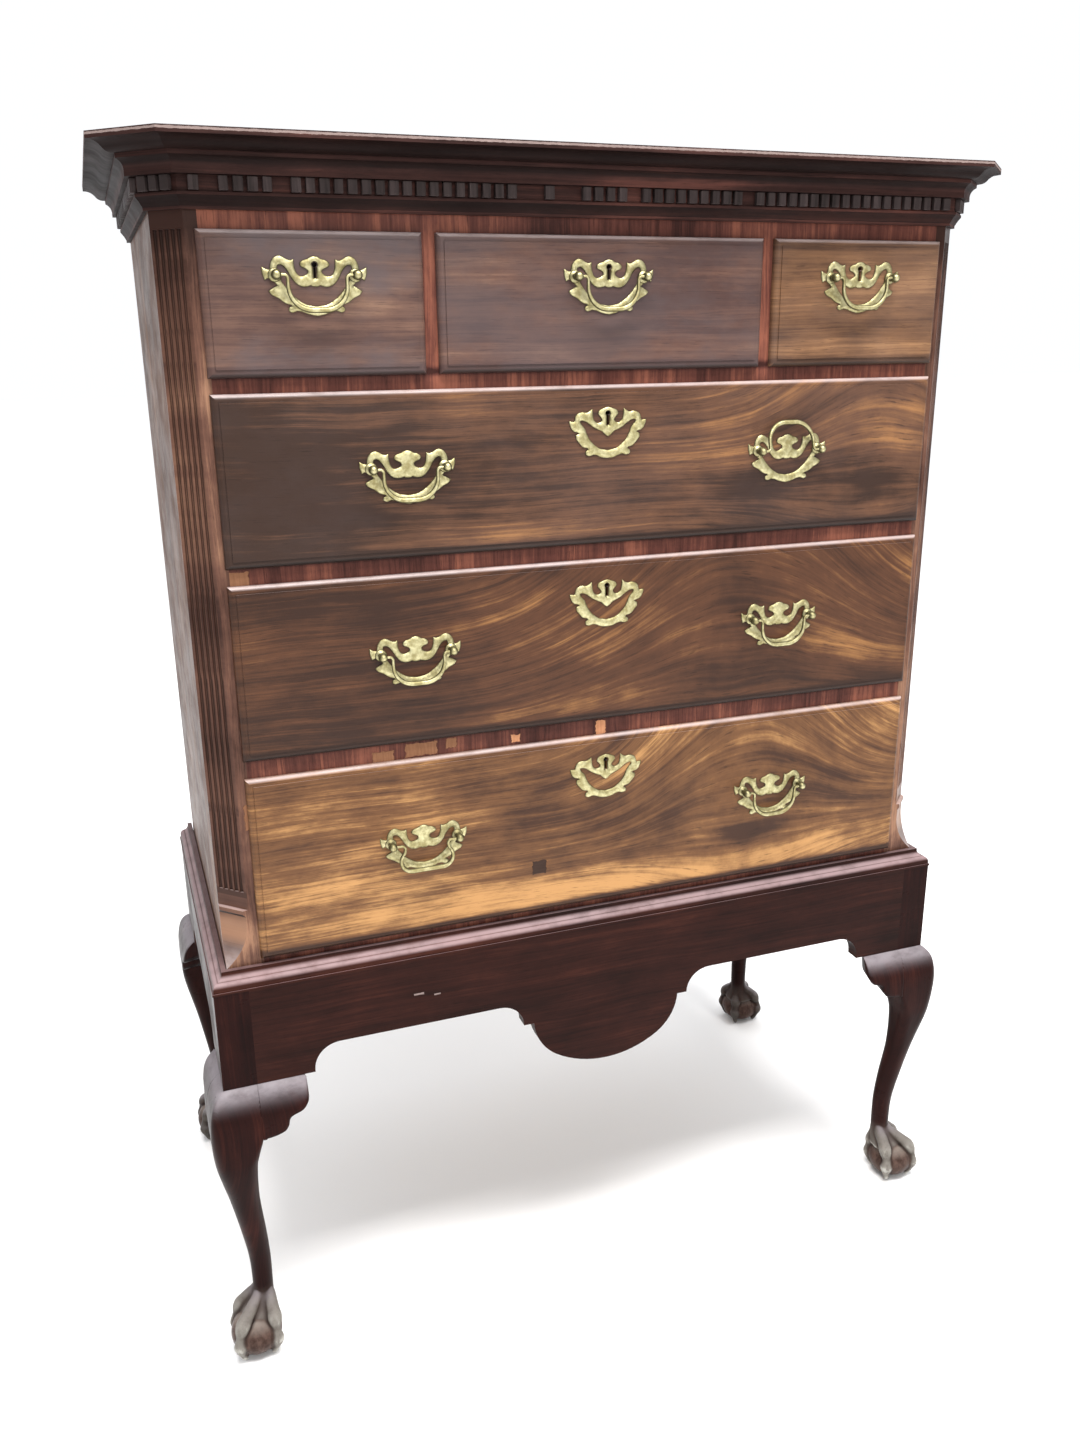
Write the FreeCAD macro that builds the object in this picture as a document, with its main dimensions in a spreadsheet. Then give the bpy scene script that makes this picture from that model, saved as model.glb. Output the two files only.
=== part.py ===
"""Mahogany chest on stand, about 1760: a chest of six lipped drawers with fluted canted corners and
a dentil cornice, on a stand of four cabriole legs with ball and claw feet.

The frame has +X to the right, +Y to the back and +Z up.  The origin is on the floor, under the
middle of the whole piece.  All sizes are millimetres.
"""
import FreeCAD, Part
import math
import os
import re
import Sketcher
from FreeCAD import Placement, Rotation, Vector

# --------------------------------------------------------------------------- driving dimensions
DIMENSIONS = {
    # the case of the chest
    "case_width": 1040,
    "case_depth": 505,
    "cant_leg": 33,
    "post_depth": 40,
    "side_board": 18,
    "back_board": 10,
    "back_board_gap": 1,
    "top_board": 18,
    "bottom_board": 16,
    # the drawer openings, from the stand up, and the rails between them
    "post_width": 47.5,
    "middle_opening_width": 416,
    "divider_width": 24,
    "base_rail_height": 37,
    "opening_lower": 236,
    "lower_rail_height": 31,
    "opening_middle": 208,
    "middle_rail_height": 28,
    "opening_upper": 188,
    "upper_rail_height": 25,
    "opening_short": 146,
    "frieze_height": 96,
    "rail_depth": 60,
    "runner_height": 14,
    "runner_width": 46,
    "guide_height": 30,
    "dust_board": 6,
    # the fluted corners and the lamb's tongues under them
    "flute_radius": 3.1,
    "flute_pitch": 8.2,
    "flute_foot": 125,
    "flute_head": 92,
    "tongue_top": 102,
    "tongue_tip": 24,
    "tongue_ledge": 4.5,
    # the cornice
    "cornice_projection": 56,
    "cornice_height": 73,
    "dentil_width": 10.5,
    "dentil_pitch": 15.3,
    "dentil_height": 15,
    "dentil_projection": 7,
    # the stand
    "leg_height": 432,
    "apron_height": 138,
    "apron_board": 22,
    "ledger": 20,
    "apron_arch_rise": 39,
    "apron_step": 4,
    "apron_arch_radius": 35,
    "drop_half_width": 112,
    "drop_depth": 81,
    "drop_shoulder": 15,
    "stand_overhang": 21,
    "stand_back_gap": 15,
    "stand_moulding_height": 25,
    "stand_moulding_gap": 1,
    "leg_stile": 44,
    "knee_swell": 22,
    "bracket_width": 63,
    "bracket_height": 72,
    "bracket_depth": 20,
    "bracket_reveal": 13,
    "bracket_joint": 0.4,
    # ball and claw feet
    "foot_inset": 12,
    "ball_radius": 36,
    "ball_height": 34.5,
    # the drawers
    "lip_lap": 4,
    "lip_thickness": 8,
    "lip_mould": 6,
    "field_inset": 9,
    "field_rise": 1.2,
    "front_thickness": 18,
    "drawer_gap": 1,
    "drawer_side": 10,
    "drawer_side_drop": 3,
    "drawer_back_drop": 12,
    "drawer_back_clearance": 45,
    "drawer_bottom": 6,
    "drawer_bottom_lift": 5,
    # the locks
    "lock_width": 56,
    "lock_height": 52,
    "lock_thickness": 9,
    "bolt_width": 24,
    "bolt_thickness": 4,
    "bolt_length": 26,
    "bolt_throw": 8,
    "bolt_play": 0.4,
    "mortise_play": 1.5,
    "keyhole_radius": 2.8,
    "keyhole_slot": 2.8,
    "keyhole_length": 14,
    "key_drop_short": 31.5,
    "key_drop_long": 30,
    # the brasses
    "post_spacing": 89,
    "post_shank_radius": 2.4,
    "post_hole_play": 0.2,
    "post_neck_radius": 3.4,
    "post_ball_radius": 5.5,
    "post_reach": 13,
    "nut_radius": 6,
    "nut_thickness": 4,
    "plate_thickness": 1.8,
    "key_above_posts": 11,
    "bail_pin_radius": 1.9,
    "bail_bore_play": 0.3,
    "bail_wire_radius": 2.8,
    "bail_drop": 36.5,
    "bail_half_width": 32.5,
    "bail_corner_radius": 25,
    "bail_lean": 15,
    "handle_level": 0.552,
    "handle_offset": 257,
}

doc = FreeCAD.newDocument("ChestOnStand")
sheet = doc.addObject("Spreadsheet::Sheet", "Dimensions")
for row, (alias, number) in enumerate(DIMENSIONS.items(), start=1):
    sheet.set(f"A{row}", alias)
    sheet.set(f"B{row}", str(number))
    sheet.setAlias(f"B{row}", alias)
doc.recompute()

NODES = []


def full(expression):
    """Put the sheet's name before each alias in an expression."""
    return re.sub(r"[a-z_]+", lambda word: "Dimensions." + word[0] if word[0] in DIMENSIONS else word[0],
                  str(expression))


def size(expression):
    """The number that an expression has now."""
    return float(sheet.evalExpression(full(expression)))


def bind(thing, **expressions):
    """Bind properties; a double underscore stands for the dot in Placement.Base.x."""
    for name, expression in expressions.items():
        thing.setExpression(name.replace("__", "."), full(expression))


def place(thing, x="0", y="0", z="0", turn=None):
    """Bind a piece's place, and turn it by a rotation first where one is given."""
    if turn is not None:
        thing.Placement = Placement(Vector(), turn)
    bind(thing, Placement__Base__x=x, Placement__Base__y=y, Placement__Base__z=z)


def about_z(degrees):
    return Rotation(Vector(0, 0, 1), degrees)


def keep(thing, label):
    """Name a finished sub-part and put it on the list of nodes."""
    thing.Label = label
    NODES.append(thing)
    return thing


def board(name, x, y, z):
    """A rectangular piece between a low and a high expression on each axis."""
    box = doc.addObject("Part::Box", name)
    bind(box, Length=f"({x[1]}) - ({x[0]})", Width=f"({y[1]}) - ({y[0]})", Height=f"({z[1]}) - ({z[0]})")
    place(box, x[0], y[0], z[0])
    return box


def mirrored(span):
    """The same span on the other side of zero."""
    return (f"-({span[1]})", f"-({span[0]})")


def group(label, pieces):
    """Several separate solids that make one node."""
    compound = doc.addObject("Part::Compound", label)
    compound.Links = pieces
    return keep(compound, label)


def cut(name, base, tool):
    result = doc.addObject("Part::Cut", name)
    result.Base = base
    result.Tool = tool
    return result


def fuse(name, pieces):
    result = doc.addObject("Part::MultiFuse", name)
    result.Shapes = pieces
    return result


def cylinder(name, radius, length, x, y, z, turn=None):
    rod = doc.addObject("Part::Cylinder", name)
    bind(rod, Radius=radius, Height=length)
    place(rod, x, y, z, turn)
    return rod


# --------------------------------------------------------------------------- sketches in a body
def new_body(name):
    return doc.addObject("PartDesign::Body", name)


def origin_feature(body, role):
    return [feature for feature in body.Origin.OriginFeatures if feature.Role == role][0]


def new_sketch(body, name, role, offset="0"):
    sketch = body.newObject("Sketcher::SketchObject", name)
    sketch.AttachmentSupport = [(origin_feature(body, role), "")]
    sketch.MapMode = "FlatFace"
    sketch.setExpression("AttachmentOffset.Base.z", full(offset))
    return sketch


def pin_vertex(sketch, edge, x, y):
    """Hold an edge's first point at two expressions."""
    across = sketch.addConstraint(Sketcher.Constraint("DistanceX", -1, 1, edge, 1, size(x)))
    sketch.setExpression(f"Constraints[{across}]", full(x))
    up = sketch.addConstraint(Sketcher.Constraint("DistanceY", -1, 1, edge, 1, size(y)))
    sketch.setExpression(f"Constraints[{up}]", full(y))


def draw_polygon(sketch, corners):
    """A closed outline of straight lines whose corners are pairs of expressions."""
    points = [Vector(size(x), size(y), 0) for x, y in corners]
    first = sketch.GeometryCount
    count = len(points)
    for index, point in enumerate(points):
        sketch.addGeometry(Part.LineSegment(point, points[(index + 1) % count]))
    for index in range(count):
        following = first + (index + 1) % count
        sketch.addConstraint(Sketcher.Constraint("Coincident", first + index, 2, following, 1))
    for index, (x, y) in enumerate(corners):
        pin_vertex(sketch, first + index, x, y)


def draw_rectangle(sketch, x, y):
    draw_polygon(sketch, [(x[0], y[0]), (x[1], y[0]), (x[1], y[1]), (x[0], y[1])])


def draw_outline(sketch, start, steps):
    """An outline that goes from point to point: a step with one point is a line to it, a step with
    two points is an arc through the first to the second."""
    here = Vector(size(start[0]), size(start[1]), 0)
    for step in steps:
        target = Vector(size(step[-1][0]), size(step[-1][1]), 0)
        if len(step) == 1:
            sketch.addGeometry(Part.LineSegment(here, target))
        else:
            middle = Vector(size(step[0][0]), size(step[0][1]), 0)
            sketch.addGeometry(Part.Arc(here, middle, target))
        here = target
    edges = sketch.GeometryCount
    closed = here.distanceToPoint(Vector(size(start[0]), size(start[1]), 0)) < 1e-6
    for index in range(edges - 1 + closed):
        sketch.addConstraint(Sketcher.Constraint("Coincident", *join(sketch, index, (index + 1) % edges)))


def join(sketch, first, second):
    """The end of one edge and the start of the next, as a coincident constraint names them: an arc
    drawn clockwise is kept the other way round, with its end first."""
    ends = []
    for edge, wanted in ((first, "end"), (second, "start")):
        geometry = sketch.Geometry[edge]
        kept_backwards = isinstance(geometry, Part.ArcOfCircle) and geometry.Circle.Axis.z < 0
        at_end = (wanted == "end") != kept_backwards
        ends.append((edge, 2 if at_end else 1))
    gap = {}
    for tip in (1, 2):
        for tail in (1, 2):
            gap[(tip, tail)] = sketch.getPoint(first, tip).distanceToPoint(sketch.getPoint(second, tail))
    tip, tail = min(gap, key=gap.get)
    return (first, tip, second, tail)


def circle(sketch, x, y, radius):
    edge = sketch.addGeometry(Part.Circle(Vector(size(x), size(y), 0), Vector(0, 0, 1), size(radius)))
    constraint = sketch.addConstraint(Sketcher.Constraint("Radius", edge, size(radius)))
    sketch.setExpression(f"Constraints[{constraint}]", full(radius))


def pad(body, sketch, length, reverse=False):
    feature = body.newObject("PartDesign::Pad", sketch.Name + "_pad")
    feature.Profile = sketch
    feature.Reversed = reverse
    feature.setExpression("Length", full(length))
    return feature


def pocket(body, sketch, length, reverse=False):
    """A pocket of a stated length, which has to take something away."""
    doc.recompute()
    before = body.Shape.Volume
    feature = body.newObject("PartDesign::Pocket", sketch.Name + "_pocket")
    feature.Profile = sketch
    feature.Reversed = reverse
    feature.setExpression("Length", full(length))
    doc.recompute()
    if body.Shape.Volume > before - 1e-3:
        raise RuntimeError(f"{feature.Name} cuts nothing")
    return feature


# --------------------------------------------------------------------------- levels and planes
STAND_TOP = "leg_height + apron_height"
LOWER_FLOOR = STAND_TOP + " + base_rail_height"
LOWER_CEILING = LOWER_FLOOR + " + opening_lower"
MIDDLE_FLOOR = LOWER_CEILING + " + lower_rail_height"
MIDDLE_CEILING = MIDDLE_FLOOR + " + opening_middle"
UPPER_FLOOR = MIDDLE_CEILING + " + middle_rail_height"
UPPER_CEILING = UPPER_FLOOR + " + opening_upper"
SHORT_FLOOR = UPPER_CEILING + " + upper_rail_height"
SHORT_CEILING = SHORT_FLOOR + " + opening_short"
CASE_TOP = SHORT_CEILING + " + frieze_height"

OVERALL_DEPTH = "(cornice_projection + case_depth + stand_back_gap + knee_swell)"
FRONT = f"(cornice_projection - {OVERALL_DEPTH} / 2)"
BACK = f"({FRONT} + case_depth)"
STAND_FRONT = f"({FRONT} - stand_overhang)"
STAND_BACK = f"({BACK} + stand_back_gap)"
STAND_HALF = "(case_width / 2 + stand_overhang)"
CASE_HALF = "case_width / 2"
OPENING_WIDTH = "(case_width - 2 * post_width)"
OPENING_HALF = "(case_width / 2 - post_width)"
POST_BACK = f"{FRONT} + post_depth"
RAIL_BACK = f"{FRONT} + rail_depth"
INNER_BACK = f"{BACK} - back_board"


# --------------------------------------------------------------------------- boards of the case
def build_case():
    side = (f"-{CASE_HALF}", f"-{CASE_HALF} + side_board")
    depth = (POST_BACK, BACK)
    height = (STAND_TOP, f"{CASE_TOP} - top_board")
    keep(board("side_left", side, depth, height), "side_left")
    keep(board("side_right", mirrored(side), depth, height), "side_right")

    inside = (f"-{CASE_HALF} + side_board", f"{CASE_HALF} - side_board")
    floor_depth = (RAIL_BACK, INNER_BACK)
    keep(board("case_bottom", inside, floor_depth, (STAND_TOP, f"{STAND_TOP} + bottom_board")), "case_bottom")

    top = new_body("case_top")
    outline = new_sketch(top, "case_top_outline", "XY_Plane")
    draw_polygon(outline, [
        (f"-{CASE_HALF} + cant_leg", "0"),
        (f"{CASE_HALF} - cant_leg", "0"),
        (CASE_HALF, "cant_leg"),
        (CASE_HALF, "case_depth"),
        (f"-{CASE_HALF}", "case_depth"),
        (f"-{CASE_HALF}", "cant_leg"),
    ])
    pad(top, outline, "top_board")
    place(top, "0", FRONT, f"{CASE_TOP} - top_board")
    keep(top, "case_top")

    boards = []
    pitch = "((case_width - 2 * side_board) / 4)"
    for index in range(4):
        left = f"-{CASE_HALF} + side_board + {index} * {pitch}"
        across = (left, f"{left} + {pitch} - back_board_gap * {min(1, 3 - index)}")
        boards.append(board(f"back_board_{index + 1}", across, (INNER_BACK, BACK), height))
    group("back_boards", boards)


# --------------------------------------------------------------------------- rails and dividers
SHORT_CENTRE = f"(middle_opening_width + {OPENING_WIDTH} + 2 * divider_width) / 4"
DIVIDER = ("middle_opening_width / 2", "middle_opening_width / 2 + divider_width")
SHORT_WIDTH = f"({OPENING_WIDTH} - middle_opening_width - 2 * divider_width) / 2"


def bolt_mortise(name, x, ceiling):
    """The slot in a rail's underside that a lock's bolt shoots up into."""
    middle = f"{FRONT} + front_thickness + lock_thickness / 2"
    across = (f"{x} - bolt_width / 2 - mortise_play", f"{x} + bolt_width / 2 + mortise_play")
    half_slot = "(bolt_thickness / 2 + mortise_play)"
    through = (f"{middle} - {half_slot}", f"{middle} + {half_slot}")
    return board(name, across, through, (f"{ceiling} - 1", f"{ceiling} + bolt_throw + mortise_play"))


def build_rails():
    across = (f"-{OPENING_HALF}", OPENING_HALF)
    depth = (FRONT, f"{FRONT} + rail_depth")
    pieces = [board("base_rail", across, depth, (STAND_TOP, LOWER_FLOOR))]
    plain = [
        ("lower_rail", LOWER_CEILING, MIDDLE_FLOOR, ["0"]),
        ("middle_rail", MIDDLE_CEILING, UPPER_FLOOR, ["0"]),
        ("upper_rail", UPPER_CEILING, SHORT_FLOOR, ["0"]),
        ("frieze_rail", SHORT_CEILING, f"{CASE_TOP} - top_board", [f"-{SHORT_CENTRE}", "0", SHORT_CENTRE]),
    ]
    for name, low, high, bolts in plain:
        solid = board(f"{name}_board", across, depth, (low, high))
        mortises = [bolt_mortise(f"{name}_mortise_{place_number}", x, low)
                    for place_number, x in enumerate(bolts, start=1)]
        pieces.append(cut(name, solid, fuse(f"{name}_mortises", mortises) if len(bolts) > 1 else mortises[0]))
    for side, span in (("left", mirrored(DIVIDER)), ("right", DIVIDER)):
        pieces.append(board(f"divider_{side}", span, depth, (SHORT_FLOOR, SHORT_CEILING)))
    group("rails_and_dividers", pieces)


# --------------------------------------------------------------------------- runners, guides, dust boards
LONG_FLOORS = {"lower": LOWER_FLOOR, "middle": MIDDLE_FLOOR, "upper": UPPER_FLOOR, "short": SHORT_FLOOR}


def build_runners():
    """A runner under each drawer side and a guide beside it, from the rail to the back boards."""
    pieces = []
    depth = (RAIL_BACK, INNER_BACK)
    wall = f"-{CASE_HALF} + side_board"
    for level, floor in LONG_FLOORS.items():
        runner = (wall, f"-{OPENING_HALF} + runner_width / 2")
        guide = (wall, f"-{OPENING_HALF}")
        for side, turn in (("left", tuple), ("right", mirrored)):
            pieces.append(board(f"runner_{level}_{side}", turn(runner), depth,
                                (f"{floor} - runner_height", floor)))
            pieces.append(board(f"guide_{level}_{side}", turn(guide), depth,
                                (floor, f"{floor} + guide_height")))
    spread = "(runner_width - divider_width) / 2"
    shared = (f"{DIVIDER[0]} - {spread}", f"{DIVIDER[1]} + {spread}")
    for side, turn in (("left", mirrored), ("right", tuple)):
        pieces.append(board(f"shared_runner_{side}", turn(shared), depth,
                            (f"{SHORT_FLOOR} - runner_height", SHORT_FLOOR)))
        pieces.append(board(f"shared_guide_{side}", turn(DIVIDER), depth,
                            (SHORT_FLOOR, f"{SHORT_FLOOR} + guide_height")))
    group("runners_and_guides", pieces)


def build_dust_boards():
    """Thin boards between the runners, under each drawer but the lowest."""
    pieces = []
    inner = f"{OPENING_HALF} - runner_width / 2"
    for level in ("middle", "upper"):
        low = f"{LONG_FLOORS[level]} - runner_height"
        pieces.append(board(f"dust_board_{level}", (f"-({inner})", inner), (RAIL_BACK, INNER_BACK),
                            (low, f"{low} + dust_board")))
    spread = "(runner_width - divider_width) / 2"
    low = f"{SHORT_FLOOR} - runner_height"
    height = (low, f"{low} + dust_board")
    middle = f"{DIVIDER[0]} - {spread}"
    pieces.append(board("dust_board_short_middle", (f"-({middle})", middle), (RAIL_BACK, INNER_BACK), height))
    outer = (f"{DIVIDER[1]} + {spread}", inner)
    for side, turn in (("left", mirrored), ("right", tuple)):
        pieces.append(board(f"dust_board_short_{side}", turn(outer), (RAIL_BACK, INNER_BACK), height))
    group("dust_boards", pieces)


# --------------------------------------------------------------------------- fluted corner posts
def build_corner_post(side, sign):
    """A corner post in a frame whose -Y looks out of the cant.  The square post is cut back to the
    cant, which is fluted, and a lamb's tongue brings it out to the square corner again."""
    width = "post_width"
    height = f"({CASE_TOP} - top_board - ({STAND_TOP}))"
    root = "sqrt(2)"
    post = new_body(f"fluted_corner_{side}")
    square = new_sketch(post, f"post_{side}_square", "XY_Plane")
    corners = [("0", "0"), (width, "0"), (width, "post_depth"), ("0", "post_depth")]
    draw_polygon(square, [(f"{sign} * (({x}) - ({y})) / {root}", f"(({x}) + ({y})) / {root}")
                          for x, y in corners])
    pad(post, square, height)

    cant = f"cant_leg / {root}"
    ledge = f"{cant} - tongue_ledge"
    hollow = f"{cant} - tongue_ledge / 2"
    reach = "post_depth * 2"
    chamfer = new_sketch(post, f"post_{side}_cant", "YZ_Plane", reach)
    middle_y = f"({hollow}) * 0.72"
    middle_z = "tongue_tip + (tongue_top - tongue_tip) * 0.32"
    draw_outline(chamfer, ("-1", f"{height} + 1"), [
        [(cant, f"{height} + 1")],
        [(cant, "tongue_top")],
        [(ledge, "tongue_top - 1")],
        [(ledge, "tongue_top - 6")],
        [(hollow, "tongue_top - 10")],
        [(hollow, "tongue_top - 26")],
        [(middle_y, middle_z), ("0", "tongue_tip")],
        [("-1", "tongue_tip")],
        [("-1", f"{height} + 1")],
    ])
    pocket(post, chamfer, f"2 * {reach}")

    flutes = new_sketch(post, f"post_{side}_flutes", "XY_Plane", "flute_foot")
    for index in range(-2, 3):
        circle(flutes, f"{index} * flute_pitch", cant, "flute_radius")
    pocket(post, flutes, f"{height} + top_board - flute_head - flute_foot", reverse=True)

    place(post, f"{-sign} * {CASE_HALF}", FRONT, STAND_TOP, about_z(-45 * sign))
    keep(post, f"fluted_corner_{side}")


# --------------------------------------------------------------------------- mitred mouldings
CANT_MITRE = math.tan(math.radians(22.5))
SQUARE_MITRE = 1.0


def moulding_run(name, profile, reach, run):
    """One length of moulding in a frame whose X runs along the wall and whose -Y looks out of it.
    Each end is cut to a mitre, given as how far it runs on for each millimetre out, or None."""
    body = new_body(name)
    section = new_sketch(body, f"{name}_section", "YZ_Plane", f"-2 * ({reach})")
    draw_outline(section, profile[0], profile[1])
    pad(body, section, f"({run['length']}) + 4 * ({reach})")
    for end, slope, along, out in (("start", run["start"], "0", -1), ("end", run["end"], run["length"], 1)):
        saw = new_sketch(body, f"{name}_{end}", "XY_Plane", "-500")
        far = f"{along} + {out} * 5 * ({reach})"
        slope = slope or 0
        draw_polygon(saw, [
            (f"{along} - {out} * {slope}", "1"),
            (f"{along} + {out} * {slope} * ({reach} + 1)", f"-({reach} + 1)"),
            (far, f"-({reach} + 1)"),
            (far, "1"),
        ])
        pocket(body, saw, "1000", reverse=True)
    place(body, run["x"], run["y"], run["z"], about_z(run["turn"]))
    return body


def wall_runs(z, mitre, corner, back):
    """The lengths of wall round the front and sides: front, then the cants if any, then the sides."""
    runs = {
        "front": {"x": f"-{CASE_HALF} + {corner}", "y": FRONT, "turn": 0, "start": mitre, "end": mitre,
                  "length": f"case_width - 2 * {corner}"},
        "left_side": {"x": f"-{CASE_HALF}", "y": f"{FRONT} + {back}", "turn": -90, "start": None,
                      "end": mitre, "length": f"{back} - {corner}"},
        "right_side": {"x": CASE_HALF, "y": f"{FRONT} + {corner}", "turn": 90, "start": mitre,
                       "end": None, "length": f"{back} - {corner}"},
    }
    if mitre == CANT_MITRE:
        runs["left_cant"] = {"x": f"-{CASE_HALF}", "y": f"{FRONT} + {corner}", "turn": -45, "start": mitre,
                             "end": mitre, "length": f"{corner} * sqrt(2)"}
        runs["right_cant"] = {"x": f"{CASE_HALF} - {corner}", "y": FRONT, "turn": 45, "start": mitre,
                              "end": mitre, "length": f"{corner} * sqrt(2)"}
    for run in runs.values():
        run["z"] = z
    return runs


DENTIL_BAND = "9"
DENTIL_TOP = "40"
MISSING_DENTILS = {-30, -25, -7, -6, -4, -3, 2, 12}


def build_cornice():
    """Fillet, cyma, fillet, cavetto, fillet, dentil band and bed mould, from the top down."""
    edge = "-cornice_projection"
    steps = [
        [(edge, "0")],
        [(edge, "-7")],
        [(f"{edge} + 2", "-7")],
        [(f"{edge} + 10", "-9"), (f"{edge} + 15", "-13")],
        [(f"{edge} + 20", "-17.3"), (f"{edge} + 26", "-18.5")],
        [(f"{edge} + 28", "-18.5")],
        [(f"{edge} + 28", "-23")],
        [(f"{edge} + 33.5", "-27.5"), (f"{edge} + 35.5", "-36")],
        [(f"{edge} + 35.5", f"-{DENTIL_TOP}")],
        [(f"-{DENTIL_BAND}", f"-{DENTIL_TOP}")],
        [(f"-{DENTIL_BAND}", f"-{DENTIL_TOP} - dentil_height - 1.5")],
        [(f"-{DENTIL_BAND} - 3", f"-{DENTIL_TOP} - dentil_height - 1.5")],
        [(f"-{DENTIL_BAND} - 3", f"-{DENTIL_TOP} - dentil_height - 4.5")],
        [("-7.2", "-cornice_height + 7"), ("-5", "-cornice_height + 3")],
        [("-5", "-cornice_height")],
        [("0", "-cornice_height")],
        [("0", "0")],
    ]
    pieces = []
    dentils = []
    for name, run in wall_runs(CASE_TOP, CANT_MITRE, "cant_leg", "case_depth").items():
        pieces.append(moulding_run(f"cornice_{name}", (("0", "0"), steps), "cornice_projection", run))
        dentils += dentil_row(name, run)
    group("cornice", pieces)
    group("dentils", dentils)


def dentil_row(name, run):
    """Separate blocks along one length of the band, centred on it, with the lost ones left out."""
    blocks = []
    reach = size(run["length"]) / 2 + (size(DENTIL_BAND) * CANT_MITRE if "cant" in name else 0)
    last = int((reach - size("dentil_width") / 2) / size("dentil_pitch"))
    turn = about_z(run["turn"])
    for index in range(-last, last + 1):
        if name == "front" and index in MISSING_DENTILS:
            continue
        block = doc.addObject("Part::Box", f"dentil_{name}_{index + last + 1}")
        bind(block, Length="dentil_width", Width="dentil_projection", Height="dentil_height")
        along = f"(({run['length']}) / 2 + {index} * dentil_pitch - dentil_width / 2)"
        out = f"({DENTIL_BAND} + dentil_projection)"
        cosine = round(math.cos(math.radians(run["turn"])), 9)
        sine = round(math.sin(math.radians(run["turn"])), 9)
        place(block,
              f"{run['x']} + {along} * {cosine} + {out} * {sine}",
              f"{run['y']} + {along} * {sine} - {out} * {cosine}",
              f"{run['z']} - {DENTIL_TOP} - dentil_height - 0.2", turn)
        blocks.append(block)
    return blocks


def build_stand_moulding():
    """A fillet, a round nose and a hollow that rises to the case, mitred at the front corners."""
    reach = "(stand_overhang + 1)"
    steps = [
        [(f"-{reach}", "0")],
        [(f"-{reach}", "3")],
        [(f"-{reach} + 1.5", "3")],
        [(f"-{reach} + 1.5", "7")],
        [(f"-{reach} + 3.6", "12.2"), (f"-{reach} + 9", "14.6")],
        [(f"-{reach} + 12.6", "17.2"), (f"-{reach} + 14.4", "stand_moulding_height - 2.5")],
        [(f"-{reach} + 14.4", "stand_moulding_height")],
        [("-stand_moulding_gap", "stand_moulding_height")],
        [("-stand_moulding_gap", "0")],
    ]
    pieces = []
    runs = wall_runs(STAND_TOP, SQUARE_MITRE, "0", "(case_depth + stand_back_gap)")
    for name, run in runs.items():
        profile = (("-stand_moulding_gap", "0"), steps)
        pieces.append(moulding_run(f"stand_moulding_{name}", profile, reach, run))
    group("stand_moulding", pieces)


# --------------------------------------------------------------------------- aprons of the stand
def build_apron(name, half, drop):
    """An apron board in a frame whose X runs along it and whose -Y looks out, with its lower edge
    raised between the knee brackets, and a rounded drop in the middle where one is asked for."""
    body = new_body(name)
    sketch = new_sketch(body, f"{name}_outline", "XZ_Plane")
    radius = "apron_arch_radius"
    diagonal = "apron_arch_radius * (1 - 1 / sqrt(2))"
    rise = "apron_arch_rise"
    foot = f"({half}) - bracket_width - bracket_reveal"
    spring = f"{rise} - {radius}"

    def arch(side):
        """The quarter round that lifts the edge next to a bracket, on the side given as -1 or 1."""
        return (f"{side} * ({foot})", spring), \
               (f"{side} * (({foot}) - {diagonal})", f"{rise} - {diagonal}"), \
               (f"{side} * (({foot}) - {radius})", rise)

    start, middle, end = arch(-1)
    steps = [[(f"-({foot})", "0")], [start], [middle, end]]
    if drop:
        inner = "(drop_half_width + drop_shoulder)"
        half_root = "(1 / sqrt(2))"
        steps += [
            [(f"-{inner} - {radius}", rise)],
            [(f"-{inner} - {diagonal}", f"{rise} - {diagonal}"), (f"-{inner}", spring)],
            [("-drop_half_width", spring)],
            [(f"-drop_half_width * 0.94", f"{spring} - drop_depth * 0.33"),
             (f"-drop_half_width * {half_root}", f"{spring} - drop_depth * {half_root}")],
            [("0", f"{spring} - drop_depth"),
             (f"drop_half_width * {half_root}", f"{spring} - drop_depth * {half_root}")],
            [(f"drop_half_width * 0.94", f"{spring} - drop_depth * 0.33"), ("drop_half_width", spring)],
            [(inner, spring)],
            [(f"{inner} + {diagonal}", f"{rise} - {diagonal}"), (f"{inner} + {radius}", rise)],
        ]
    start, middle, end = arch(1)
    steps += [[end], [middle, start], [(foot, "0")], [(half, "0")], [(half, "apron_height")],
              [(f"-({half})", "apron_height")], [(f"-({half})", "0")]]
    draw_outline(sketch, (f"-({half})", "0"), steps)
    pad(body, sketch, "apron_board", reverse=True)
    return body


def build_aprons():
    front = build_apron("front_apron", f"{STAND_HALF} - leg_stile", True)
    place(front, "0", STAND_FRONT, "leg_height")
    keep(front, "front_apron")

    half_depth = f"(({STAND_BACK}) - ({STAND_FRONT})) / 2"
    middle = f"({STAND_FRONT} + {STAND_BACK}) / 2"
    sides = []
    for side, sign in (("left", -1), ("right", 1)):
        apron = build_apron(f"side_apron_{side}", f"{half_depth} - leg_stile", False)
        place(apron, f"{sign} * {STAND_HALF}", middle, "leg_height", about_z(90 * sign))
        sides.append(apron)
    group("side_aprons", sides)


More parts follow.
